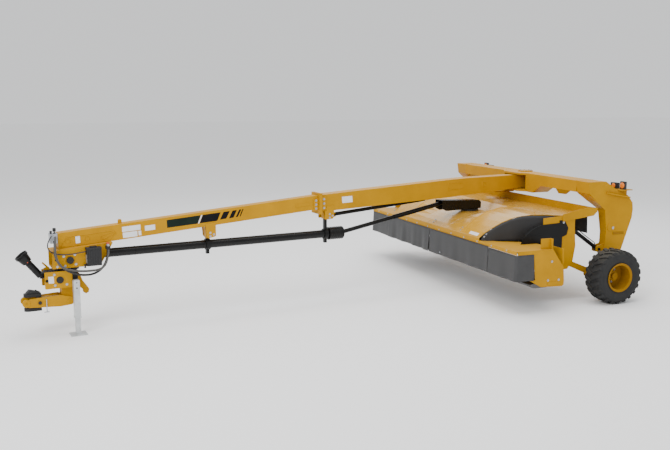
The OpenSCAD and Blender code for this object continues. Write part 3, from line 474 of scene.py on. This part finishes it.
TONGUE_BOLTS = (  # face, radius, places (ahead, up)
    (FRONT_FACE + FRONT_FLANGE, 12, ((3970, 1480), (3970, 1422), (3970, 1364))),
    (REAR_FACE + REAR_FLANGE, 12, ((3852, 1496), (3852, 1432), (3852, 1368))),
    (REAR_FACE + CHEEK, 11, ((3756, 1272), (3756, 1221), (3711, 1245))),
    (FRONT_FACE + CHEEK, 11, ((5574, 1135), (5574, 1089), (5524, 1110))),
    (HOUSING_FACE, 11, ((7504, 1000), (7372, 1010), (7493, 876), (7361, 888), (7586, 876))))
bolts("tongue_bolts", "tongue", [(on_tongue(m * x, s, z), LEFT * m, radius)
                                 for m in PAIR for x, radius, places in TONGUE_BOLTS for s, z in places])
WELD_OUTLINES = (  # face, outline (ahead, up)
    (FRONT_FACE, ((7521, 1100), (7458, 1222), (6860, 1266), (6832, 1236), (6927, 1140))),
    (FRONT_FACE, ring(7432, 1176, 30)),
    (FRONT_FACE, ring(7198, 1194, 30)),
    (FRONT_FACE, ((7016, 1172), (7030, 1192), (7016, 1214), (6990, 1216), (6880, 1248), (6862, 1244),
                  (6862, 1228), (6986, 1168))),
    (REAR_FACE, ((1642, 1618), (1436, 1622), (1385, 1606), (1365, 1579), (1366, 1548), (1385, 1524),
                 (1639, 1508))),
    (REAR_FACE, ring(939, 1572, 38)),
    (HOUSING_FACE, ring(7430, 945, 56, 28)))
PROUD = 0.5  # a bead's middle line outside its face
beads("tongue_weld_outlines", "tongue", mustard,
      [[on_tongue(m * (x + PROUD), s, z) for s, z in outline] for m in PAIR for x, outline in WELD_OUTLINES],
      5, closed=True)
beads("tongue_welds", "tongue", mustard,
      both_lines(on_tongue, FRONT_FACE, [(6905, 1129), (7545, 1081.5)]), 6)
# Flat black discs on the housing's sides: painted shade that stands for the dark insides of its holes.
turned("housing_holes_painted_shade", "tongue", cast_black,
       [(on_tongue(m * HOUSING_FACE, 7600, 960), LEFT * m, [(0, 13), (0.6, 13)]) for m in PAIR], sides=20)

# Valve block. A zinc-plated block on the tongue's tip with screwed fittings for the lines and two black
# knobs; the rack behind the document box holds two more fittings with red caps.
VALVE_FACE = 60  # the block's left face, from the tongue's middle
RACK_ROW, RACK_SPOTS = 6970, (172, 212)  # the rack's fittings, ahead and beside
hose_fitting = [(0, 20), (16, 20), (17, 17), (36, 17), (37, 15.5), (50, 15.5)]
cable_fitting = [(0, 12), (12, 12), (13, 10), (24, 10)]
rack_fitting = [(0, 18), (16, 18), (17, 14), (28, 14)]
fitting_red = finish("fitting_red", (0.42, 0.035, 0.012), (0.52, 0.06, 0.02), (0.35, 0.5), grain=30)
dress(zinc, "valve_block")
turned("hose_fittings", "tongue", zinc,
       [(on_tongue(VALVE_FACE, s, z), LEFT, profile) for s, z, profile in (
           (7585, 1240, hose_fitting), (7600, 1190, hose_fitting), (7630, 1255, cable_fitting))]
       + [(on_tongue(x, RACK_ROW, 1095), UP, rack_fitting) for x in RACK_SPOTS], sides=12)
turned("fitting_caps", "tongue", fitting_red,
       [(on_tongue(x, RACK_ROW, 1123), UP, [(0, 15), (12, 15), (14, 11)]) for x in RACK_SPOTS], sides=20)
tall_knob = [(0, 17), (6, 17), (8, 8), (22, 8), (24, 17), (30, 21), (60, 21), (67, 17), (70, 0)]
low_knob = [(0, 14), (5, 14), (7, 7), (12, 7), (14, 16), (32, 16), (36, 12), (37, 0)]
turned("valve_knobs", "tongue", cast_black,
       [(on_tongue(12, 7580, 1275), UP, tall_knob), (on_tongue(22, 7624, 1275), UP, low_knob)], sides=24)

# Document box. A moulded black plastic box on the housing's left side, with ribs down its face,
# a stepped lid, a knob ahead of its lower edge and a plated strap on its front.
document_plastic = finish("document_box_plastic", (0.012, 0.012, 0.013), (0.02, 0.02, 0.021), (0.5, 0.62),
                          peel=0.1, peel_scale=700, spec=0.35)
dress(document_plastic, "manual_box")
beads("document_box_ribs", "tongue", document_plastic,
      [[on_tongue(235, s, z) for z in (874, 1066)] for s in range(7075, 7226, 30)], 4)
lid = [on_tongue(x, s, 1068) for x, s in ((151, 7055), (242, 7055), (242, 7245), (151, 7245))]
lid_step = [on_tongue(x, s, 1094) for x, s in ((160, 7110), (215, 7110), (215, 7195), (160, 7195))]
plates("document_box_lid", "tongue", document_plastic,
       [(lid, UP, 26), (lid_step, UP, 14)], edge=5)
box_knob = [(-26, 0), (-24, 12), (-8, 13), (-6, 8), (8, 8), (10, 14), (24, 14), (26, 0)]
turned("document_box_knob", "tongue", document_plastic,
       [(on_tongue(172, 7256, 858), UP, box_knob)], sides=20)
strap = [on_tongue(x, 7240, z) for x, z in ((160, 900), (226, 900), (226, 1010), (160, 1010))]
plates("document_box_strap", "tongue", zinc, [(strap, FORWARD, 4)], edge=1)

# Driveline. A shaft in black plastic shield tubes under the tongue, hung from two brackets by black posts,
# with a ribbed guard round its joint and raised collars along the tube.
SHAFT_LINE = 970  # the shaft's height over the ground
shield_black = finish("shield_plastic", (0.003, 0.003, 0.003), (0.006, 0.006, 0.006), (0.2, 0.34),
                      grain=5, spec=0.25)
dress(mustard, "hanger_brackets")
dress(gloss_black, "hanger_posts")
dress(shield_black, "driveline_tube", "driveline_guard", "driveline_shaft", "gearbox_shield")
dress(cast_black, "deck_gearbox")
rib_tree, given, end = new_tree(
    "ring_ribs", ("Rib count", "NodeSocketInt", 6), ("Rib reach", "NodeSocketFloat", 0.09),
    ("Rib thickness", "NodeSocketFloat", 0.004), ("Finish", "NodeSocketMaterial", None))
axis_line = add(rib_tree, "GeometryNodeMeshToCurve", {"Mesh": given.outputs["Geometry"]})
stations = add(rib_tree, "GeometryNodeCurveToPoints",
               {"Curve": axis_line.outputs["Curve"], "Count": given.outputs["Rib count"]})
hoop = add(rib_tree, "GeometryNodeCurvePrimitiveCircle",
           {"Resolution": 40, "Radius": given.outputs["Rib reach"]})
wire = add(rib_tree, "GeometryNodeCurvePrimitiveCircle",
           {"Resolution": 8, "Radius": given.outputs["Rib thickness"]})
rib = add(rib_tree, "GeometryNodeCurveToMesh",
          {"Curve": hoop.outputs["Curve"], "Profile Curve": wire.outputs["Curve"]})
round_rib = add(rib_tree, "GeometryNodeSetShadeSmooth", {"Geometry": rib.outputs["Mesh"]})
along = add(rib_tree, "FunctionNodeAlignRotationToVector", {"Vector": stations.outputs["Tangent"]}, axis="Z")
string = add(rib_tree, "GeometryNodeInstanceOnPoints", {
    "Points": stations.outputs["Points"], "Instance": round_rib.outputs["Geometry"],
    "Rotation": along.outputs["Rotation"]})
close_tree(rib_tree, given, end, string.outputs["Instances"])


def ribs(name, body, start, stop, count, reach, thick):
    """Raised rings of a black shield between two points; reach and thickness in millimetres."""
    sizes = {"Rib count": count, "Rib reach": reach / 1000, "Rib thickness": thick / 1000}
    made_by(rib_tree, name, [start, stop], [(0, 1)], {"Finish": shield_black, **sizes}, body)


ribs("joint_guard_ribs", "tongue", on_tongue(0, 3512, SHAFT_LINE), on_tongue(0, 3725, SHAFT_LINE), 7, 92, 4)
ribs("driveline_tube_collars", "tongue", on_tongue(0, 5660, SHAFT_LINE), on_tongue(0, 7050, SHAFT_LINE),
     4, 58.5, 4)

# Hitch. The swivelling lower gearbox, cast and black, in its welded yellow housing, bolted round the swivel
# and at both sides, with black brackets for the jack and a yellow cradle for the half shaft.
HITCH_FACE = 130  # the housing's side faces, from the tongue's middle
dress(mustard, "hitch_housing")
dress(cast_black, "lower_gearbox")
hitch_bolts = [(on_tongue(a, 7430 + b, 836), UP, 6) for a, b in circle(112, 8)]
hitch_bolts += [(on_tongue(m * HITCH_FACE, s, z), LEFT * m, 11)
                for m in PAIR for s, z in ((7626, 776), (7620, 640), (7480, 640))]
bolts("hitch_bolts", "hitch", hitch_bolts)
bolts("hitch_front_bolts", "hitch", [(on_tongue(m * HITCH_FACE, 7715, 705), LEFT * m, 13) for m in PAIR],
      gloss_black)
plates("hitch_labels", "hitch", label_white,
       tongue_sides(HITCH_FACE, [[(7698, 756), (7633, 755), (7632, 669), (7694, 671)]], FILM), edge=0)
plates("hitch_brackets", "hitch", gloss_black,
       tongue_sides(HITCH_FACE, [[(7410, 798), (7345, 798), (7345, 690), (7410, 690)]], 9), edge=2)
cradle = [(7646, 812.5), (7716, 812.5), (7736, 828), (7694, 848), (7742, 902), (7728, 916), (7650, 838)]
plates("shaft_cradle", "hitch", mustard,
       [([on_tongue(-48, s, z) for s, z in cradle], -LEFT, 8)], edge=1)
cap_ring = [(0, 62), (3, 62), (6, 58), (6, 46), (2, 46)]
turned("hitch_cap_rings", "hitch", mustard,
       [(on_tongue(m * HITCH_FACE, 7560, 705), LEFT * m, cap_ring) for m in PAIR])

# Half shaft. The power take-off's half shaft, parked on its cradle, in a black plastic tube
# with a ribbed bell at its upper end, rings along the tube and a red mark.
SHAFT_TILT = math.radians(38)  # from upright
shaft_axis = FORWARD * math.sin(SHAFT_TILT) + UP * math.cos(SHAFT_TILT)
shaft_foot = on_tongue(0, 7775, 762)
dress(shield_black, "pto_shaft")
ribs("pto_bell_ribs", "hitch", shaft_foot + shaft_axis * 0.318, shaft_foot + shaft_axis * 0.346, 3, 82, 3)
ribs("pto_tube_rings", "hitch", shaft_foot + shaft_axis * 0.08, shaft_foot + shaft_axis * 0.2, 3, 42, 4)
mark_place, mark_aim = shaft_foot + shaft_axis * 0.236 + LEFT * 0.06, LEFT + shaft_axis * -0.6
turned("pto_mark", "hitch", fitting_red,
       [(mark_place, mark_aim, [(0, 7), (6, 7), (8, 4)])], sides=16)

# Drawbar. A yellow welded bar with bosses at its tip, a top plate, a black cast head bolted on
# and a black clevis; its safety pin of bent rod hangs at the left side.
PIN_ROW = 7729  # the safety pin, ahead of the pivot
dress(mustard, "drawbar")
dress(cast_black, "hitch_clevis")
head_block = [(7955, 548), (7915, 590), (7880, 580), (7790, 556), (7782, 546)]
plates("drawbar_head", "drawbar", cast_black,
       [([on_tongue(-56, s, z) for s, z in head_block], LEFT, 112)], edge=8)
head_slope = UP - FORWARD * 0.27  # outward from the head's sloping top
bolts("drawbar_head_bolts", "drawbar", [(on_tongue(x, 7830, 566), head_slope, 12) for x in (-34, 34)],
      gloss_black)
boss = [(0, 48), (32, 48), (38, 44), (38, 15), (22, 13)]
turned("drawbar_bosses", "drawbar", mustard,
       [(on_tongue(m * 68, 7962, 438), LEFT * m, boss) for m in PAIR])
drawbar_top = [on_tongue(x, s, 480) for x, s in ((-69, 7770), (69, 7770), (69, 7680), (-69, 7680))]
plates("drawbar_top", "drawbar", mustard, [(drawbar_top, UP, 8)], edge=2)
beads("safety_pin", "drawbar", zinc,
      [[on_tongue(110, PIN_ROW, z) for z in (470, 330, 312)],
       [on_tongue(110, s, 312) for s in (7702, PIN_ROW, 7762)],
       [on_tongue(x, PIN_ROW, 470) for x in (90, 112)]], 6)

# Jack. A galvanised square tube with its leg and foot, pinned to the hitch's left side,
# with a plate round its pin and a collar of two plates at the tube's lower end.
JACK_FACE = 228  # the tube's outer face, from the tongue's middle
JACK_PLATE = 4
galvanised = finish("galvanised_jack", (0.48, 0.50, 0.50), (0.66, 0.67, 0.67), (0.38, 0.55),
                    metal=0.55, grain=22)
dress(galvanised, "jack_tube", "jack_leg")
pin_plate = [on_tongue(JACK_FACE, s, z) for s, z in ((7346, 700), (7414, 700), (7414, 560), (7346, 560))]
side_collar = [on_tongue(JACK_FACE, s, z) for s, z in ((7340, 236), (7420, 236), (7420, 216), (7340, 216))]
front_collar = [on_tongue(x, 7418, z) for x, z in ((150, 236), (232, 236), (232, 216), (150, 216))]
plates("jack_plates", "jack", galvanised,
       [(pin_plate, LEFT, JACK_PLATE), (side_collar, LEFT, JACK_PLATE), (front_collar, FORWARD, JACK_PLATE)],
       edge=1)
# Flat black discs on the pin plate: painted shade that stands for the dark insides of its holes.
turned("jack_holes_painted_shade", "jack", cast_black,
       [(on_tongue(JACK_FACE + JACK_PLATE, 7380, z), LEFT, [(0, r), (0.6, r)])
        for z, r in ((600, 10), (668, 7))], sides=20)

# Lift gear. Yellow lower arms with black cylinders and chromed rods that hold the header up; each barrel has
# a screwed gland at its rod end, a collar at its foot and a black line along it.
CYLINDER_X = 1830  # both cylinders, from the middle
chrome_rod = finish("chromed_rod", (0.62, 0.63, 0.64), (0.72, 0.73, 0.74), (0.08, 0.16),
                    metal=1.0, grain=30, peel=0.0)
dress(mustard, "lift_arms")
dress(gloss_black, "lift_barrels")
dress(chrome_rod, "lift_rods")
cylinder_foot, cylinder_head = Vector((0, 40, 730)), Vector((0, -588, 1165))
cylinder_run = (cylinder_head - cylinder_foot).normalized()


def on_cylinder(m, along, up):
    """A point of the left (1) or right (-1) cylinder, millimetres from its foot and over its middle line."""
    p = cylinder_foot + cylinder_run * along + Vector((0, cylinder_run.z, -cylinder_run.y)) * up
    return machine(m * CYLINDER_X, p.y, p.z)


gland, collar = [(0, 29.5), (3, 34), (30, 34), (33, 30)], [(0, 29.5), (2, 33), (20, 33), (22, 30)]
turned("lift_glands", "lift_barrels", gloss_black,
       [(on_cylinder(m, along, 0), cylinder_run, profile)
        for m in PAIR for along, profile in ((488, gland), (60, collar))])
lift_line = ((70, 30), (78, 44), (100, 50), (280, 46), (440, 50), (462, 44), (470, 30))
beads("lift_lines", "lift_barrels", gloss_black,
      [[on_cylinder(m, along, up) for along, up in lift_line] for m in PAIR], 7)

# Header. Pressed yellow hood and end plates over the welded frame, bolted to a front rail, with black inner
# panels and covers, the steel cutterbar, its discs and the rubber-covered conditioner rolls.
END_FACE = 2365  # outer faces of the end plates, from the middle
cutter_steel = finish("cutter_steel", (0.08, 0.08, 0.082), (0.17, 0.165, 0.16), (0.4, 0.62),
                      metal=0.8, grain=12)
roll_rubber = finish("roll_rubber", (0.02, 0.02, 0.02), (0.035, 0.035, 0.035), (0.6, 0.8), grain=8, peel=0.1)
hood_paint = finish("hood_paint", (0.45, 0.222, 0.0006), (0.54, 0.272, 0.001), (0.2, 0.34),
                    dust=0.08, coat=0.3, spec=0.35)
dress(hood_paint, "hood")
dress(mustard, "end_left", "end_right", "front_rail", "rear_hood", "header_frame")
dress(gloss_black, "inner_panels")
dress(cutter_steel, "cutterbar", *[f"disc_{i}" for i in range(1, 10)])
dress(roll_rubber, "roll_upper", "roll_lower")
rail_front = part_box("front_rail")[0][1] * 1000 - REACH * 1000 * math.cos(SWING)
slope = Vector((0, -0.707, 0.707))  # outward from the hood's front, which leans back at 45 degrees


def on_slope(x, y, proud=0.0):
    """A point on the hood's front slope, or proud of it, by its place across and along."""
    return machine(x, y, 935 + proud + y + 1715)


header_bolts = [(machine(x, rail_front, 872), AHEAD, 9) for x in range(-2113, 2200, 385)]
header_bolts += [(on_slope(x, y), slope, 10) for x in (-1500, -40, 825, 1500) for y in (-1690, -1655)]
for m in PAIR:
    outward = Vector((m, 0, 0))
    header_bolts += [(machine(m * END_FACE, y, z), outward, 12)
                     for y, z in ((-1140, 718), (-1194, 458), (-1017, 454), (-1560, 700))]
    header_bolts.append((machine(m * 1901, -622, 1168), outward, 12))
bolts("header_bolts", "header", header_bolts)
plates("header_plates", "header", mustard, both_sides(machine, ACROSS, END_FACE, [
    [(-1205, 436), (-1010, 432), (-1010, 392), (-1205, 396)]], 8), edge=2)
plates("frame_covers", "header", gloss_black, both_sides(machine, ACROSS, 1895, [
    [(-690, 1200), (-605, 1200), (-535, 1085), (-560, 985), (-640, 955), (-690, 985)]], 6), edge=1)
plates("inner_covers", "header", gloss_black, both_sides(machine, ACROSS, 1903, [
    [(-1345, 892), (-1300, 975), (-1255, 1010), (-1000, 1010), (-1000, 860), (-1122, 860), (-1122, 892)]], 4),
       edge=1)
hood_label = [on_slope(x, y, 0.5) for x, y in ((1090, -1704), (1330, -1704), (1330, -1668), (1090, -1668))]
plates("header_labels", "header", label_white, [(hood_label, slope, FILM)], edge=0)
hood_seam = ((-1713, 936), (-1640, 1011), (-1540, 1086), (-1430, 1161), (-1300, 1223), (-1230, 1246),
             (-1050, 1277), (-870, 1279), (-640, 1270))
beads("hood_seams", "header", mustard, both_lines(machine, 902, hood_seam), 4)
beads("end_welds", "header", mustard,
      both_lines(machine, END_FACE, [(-1700, 888), (-1130, 888)]), 4)

# Curtains. Grey-black rubber sheet bolted under the front rail in panels, hanging in shallow folds
# and turned back round both header ends, with one more sheet behind the rolls.
RUBBER = 0.005  # thickness of the sheets, metres
HEM = 478  # the front curtain's lower edge over the ground
FRONT = -1719  # the front curtain's line, ahead of the pivot
FOLDS = ((0.6, 1.0, 0.0), (0.2, 0.43, 1.3), (0.4, 2.7, 0.4))  # share, length and start of each wave
SAG = 0.9  # how far the folds' middle stands out, as a share of the fold
ROWS, COLUMN = 14, 18  # rows of a panel, and millimetres between its columns
curtain_rubber = finish("curtain_rubber", (0.018, 0.018, 0.019), (0.042, 0.042, 0.043), (0.42, 0.62),
                        grain=2.2, peel=0.08, peel_scale=300)


def between(a, b, share):
    """The point this share of the way from a to b."""
    return [p + share * (q - p) for p, q in zip(a, b)]


def hang(name, grid, mat, swaps):
    """A rubber sheet through columns of points, of this height in metres, hung from a node."""
    bm = bmesh.new()
    columns = [[bm.verts.new(p) for p in column] for column in grid]
    for a, b in zip(columns, columns[1:]):
        for r in range(len(a) - 1):
            bm.faces.new((a[r], a[r + 1], b[r + 1], b[r]))
    bmesh.ops.recalc_face_normals(bm, faces=bm.faces)
    area = sum(f.calc_area() for f in bm.faces)
    mesh = to_mesh(bm, name, mat)
    mesh.polygons.foreach_set("use_smooth", [True] * len(mesh.polygons))
    panel = fixed(name, mesh, "header")
    wall = panel.modifiers.new("thickness", "SOLIDIFY")
    wall.thickness = RUBBER
    wall.offset = 0
    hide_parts(swaps)


def rubber_panel(name, plan, top, bottom, fold, wave, swaps):
    """A sheet that hangs from a line in plan (millimetres), with folds that grow towards its lower edge."""
    steps = [0.0]
    for a, b in zip(plan, plan[1:]):
        steps.append(steps[-1] + math.hypot(b[0] - a[0], b[1] - a[1]))
    total = steps[-1]
    count = int(total / COLUMN)
    grid = []
    for i in range(count + 1):
        at = total * i / count
        k = max(j for j in range(len(plan) - 1) if steps[j] <= at + 1e-6)
        x, y = between(plan[k], plan[k + 1], (at - steps[k]) / (steps[k + 1] - steps[k]))
        dx, dy = plan[k + 1][0] - plan[k][0], plan[k + 1][1] - plan[k][1]
        out = Vector((dy, -dx, 0)).normalized()
        ripple = sum(share * math.sin(at / (wave * length) + start) for share, length, start in FOLDS) + SAG
        column = []
        for r in range(ROWS + 1):
            down = r / ROWS
            swell = fold * down * ripple
            column.append(machine(x + out.x * swell, y + out.y * swell, top + (bottom - top) * down))
        grid.append(column)
    hang(name, grid, curtain_rubber, swaps)


for name, top, fold, wave, plan in (
        ("front_curtain_middle_left", 850, 12, 95,
         [(-97, FRONT - 5), (850, FRONT - 5), (1666, FRONT - 2)]),
        ("front_curtain_middle_right", 850, 18, 74,
         [(-1666, FRONT - 2), (-850, FRONT - 5), (-103, FRONT - 3)]),
        ("front_curtain_end_left", 838, 11, 120,
         [(1671, FRONT), (2345, FRONT + 1), (2362, FRONT + 8), (2368, FRONT + 25), (2368, -1436)]),
        ("front_curtain_end_right", 838, 11, 120,
         [(-2368, -1436), (-2368, FRONT + 25), (-2362, FRONT + 8), (-2345, FRONT + 1), (-1671, FRONT)])):
    rubber_panel(name, plan, top, HEM, fold, wave, "front_curtain")
rubber_panel("rear_curtain_sheet", [(1770, -108), (-1770, -108)], 1243, 960, 8, 90,
             "rear_curtain")
bolts("curtain_grommets", "header", [(machine(x, -1738, 522), AHEAD, 8) for x in (-1563, 277)], height=0.4)

# End flaps. Black rubber cut to a curve, one below each end of the hood, fixed along the hood's edge
# and bulging a little outwards over the end sections.
FLAP_STEPS = 8  # columns between two places of the outlines, and rows down the flap
flap_rubber = finish("flap_rubber", (0.010, 0.010, 0.011), (0.02, 0.02, 0.021), (0.5, 0.7),
                     grain=4, peel=0.08, peel_scale=300)
hood_edge, hood_corner = Vector((1400, -1716)), Vector((1895, -640))
flap_run = (hood_corner - hood_edge).normalized()
flap_out = Vector((flap_run.y, -flap_run.x))
flap_top = [(20, 890), (70, 985), (170, 1056), (300, 1138), (440, 1206), (600, 1253), (760, 1264),
            (930, 1259), (1100, 1250)]
flap_low = [(140, 878), (190, 886), (250, 892), (340, 893), (430, 893), (540, 893), (650, 893),
            (900, 985), (1120, 1100)]
for side, m in (("left", 1), ("right", -1)):
    grid = []
    for i in range(FLAP_STEPS * (len(flap_top) - 1) + 1):
        k = min(i // FLAP_STEPS, len(flap_top) - 2)
        upper, lower = (between(edge[k], edge[k + 1], i / FLAP_STEPS - k) for edge in (flap_top, flap_low))
        column = []
        for r in range(FLAP_STEPS + 1):
            down = r / FLAP_STEPS
            reach, height = between(upper, lower, down)
            bulge = 4 + 18 * math.sin(down * 1.45) + 4 * down * math.sin(reach / 60)
            p = hood_edge + flap_run * reach + flap_out * bulge
            column.append(machine(m * p.x, p.y, height))
        grid.append(column)
    hang(f"end_flap_{side}", grid, flap_rubber, "end_flaps")

# Hoses. Three black hydraulic lines that leave the valve block, hang in loops beside the gearboxes
# and end in the rack and the document box; the upper one wears a rough grey sleeve.
SUB_STEPS = 3  # parts of a line between two of its stops
hose_rubber = finish("hose_rubber", (0.012, 0.012, 0.012), (0.02, 0.02, 0.02), (0.42, 0.6),
                     grain=30, peel=0.05)
hose_sleeve = finish("hose_sleeve", (0.045, 0.042, 0.038), (0.075, 0.07, 0.064), (0.5, 0.65),
                     grain=60, peel=0.2, peel_scale=900)
HOSES = (  # name, radius, finish, stops (beside, ahead, up)
    ("hose_upper", 14, hose_sleeve, [
        (62.4, 7585, 1240), (105, 7586, 1239), (145, 7592, 1227), (180, 7601, 1205), (208, 7608, 1173),
        (225, 7614, 1135), (232, 7616, 1093), (235, 7615, 1050), (237, 7608, 1008), (237, 7596, 967),
        (237, 7579, 928), (236, 7554, 893), (236, 7520, 867), (236, 7482, 849), (236, 7441, 836),
        (236, 7400, 825), (236, 7358, 817), (236, 7316, 811), (236, 7273, 807), (236, 7230, 805),
        (236, 7188, 805), (237, 7145, 806), (236, 7103, 812), (235, 7063, 827), (232, 7030, 854),
        (226, 7007, 890), (219, 6992, 929), (214, 6980, 970), (212, 6971, 1011), (212, 6970, 1054)]),
    ("hose_lower", 14, hose_rubber, [
        (62.4, 7600, 1190), (84, 7600, 1190), (112, 7602, 1186), (139.5, 7604, 1174.5), (163, 7607, 1156),
        (181.5, 7610, 1132.5), (193, 7613, 1105), (197, 7615, 1075), (199, 7615, 1045), (200, 7609, 1009),
        (200, 7598, 972), (200, 7582, 936), (199, 7560, 902), (198, 7534, 871), (197, 7503, 844),
        (197, 7469, 820), (196, 7433, 800), (196, 7395, 782), (196, 7356, 768), (196, 7316, 757),
        (196, 7275, 750), (196, 7233, 748), (196, 7192, 750), (196, 7151, 759), (195, 7113, 774),
        (193, 7077, 796), (190, 7046, 823), (186, 7021, 856), (182, 7001, 892), (178, 6986, 931),
        (174, 6976, 971), (172, 6971, 1012), (172, 6970, 1054)]),
    ("hose_cable", 7, hose_rubber, [
        (61.4, 7630, 1255), (85, 7631, 1254), (108, 7637, 1249), (126, 7648, 1238.5), (140, 7660.5, 1223),
        (150, 7673, 1205), (158, 7683, 1185), (164, 7689.5, 1162), (167, 7691, 1139), (169, 7687, 1115.5),
        (170, 7676.5, 1094), (170, 7660.5, 1076), (169, 7641, 1061.5), (169, 7620, 1050), (169, 7598, 1041),
        (169, 7574, 1035), (170, 7551, 1030), (170, 7527, 1026.5), (171, 7503, 1024), (173, 7479, 1023),
        (174, 7455, 1023), (176, 7431, 1023.5), (179, 7407, 1025), (181, 7384, 1027.5), (184, 7360, 1030.5),
        (187, 7336, 1034), (189, 7313, 1037.5), (191, 7289, 1040), (192, 7265, 1041.5), (192, 7240.9, 1042)]))


def flowing(stops):
    """Points of a smooth line through all the stops, straight on at both ends."""
    stops = [Vector(p) for p in stops]
    points = []
    for i in range(len(stops) - 1):
        b, c = stops[i], stops[i + 1]
        a = stops[i - 1] if i else 2 * b - c
        d = stops[i + 2] if i + 2 < len(stops) else 2 * c - b
        for t in (k / SUB_STEPS for k in range(SUB_STEPS)):
            points.append(0.5 * (2 * b + (c - a) * t + (2 * a - 5 * b + 4 * c - d) * t * t
                                 + (3 * b - a - 3 * c + d) * t ** 3))
    return points + [stops[-1]]


for name, radius, skin_finish, stops in HOSES:
    route = [on_tongue(*p) for p in flowing(stops)]
    line = bpy.data.curves.new(name + "_line", "CURVE")
    line.dimensions = "3D"
    thread = line.splines.new("POLY")
    thread.points.add(len(route) - 1)
    for point, p in zip(thread.points, route):
        point.co = (*p, 1)
    line.bevel_depth = radius / 1000
    line.bevel_resolution = 4
    line.use_fill_caps = True
    line.materials.append(skin_finish)
    hose = fixed(name + "_line", line, "tongue")
    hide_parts(name)
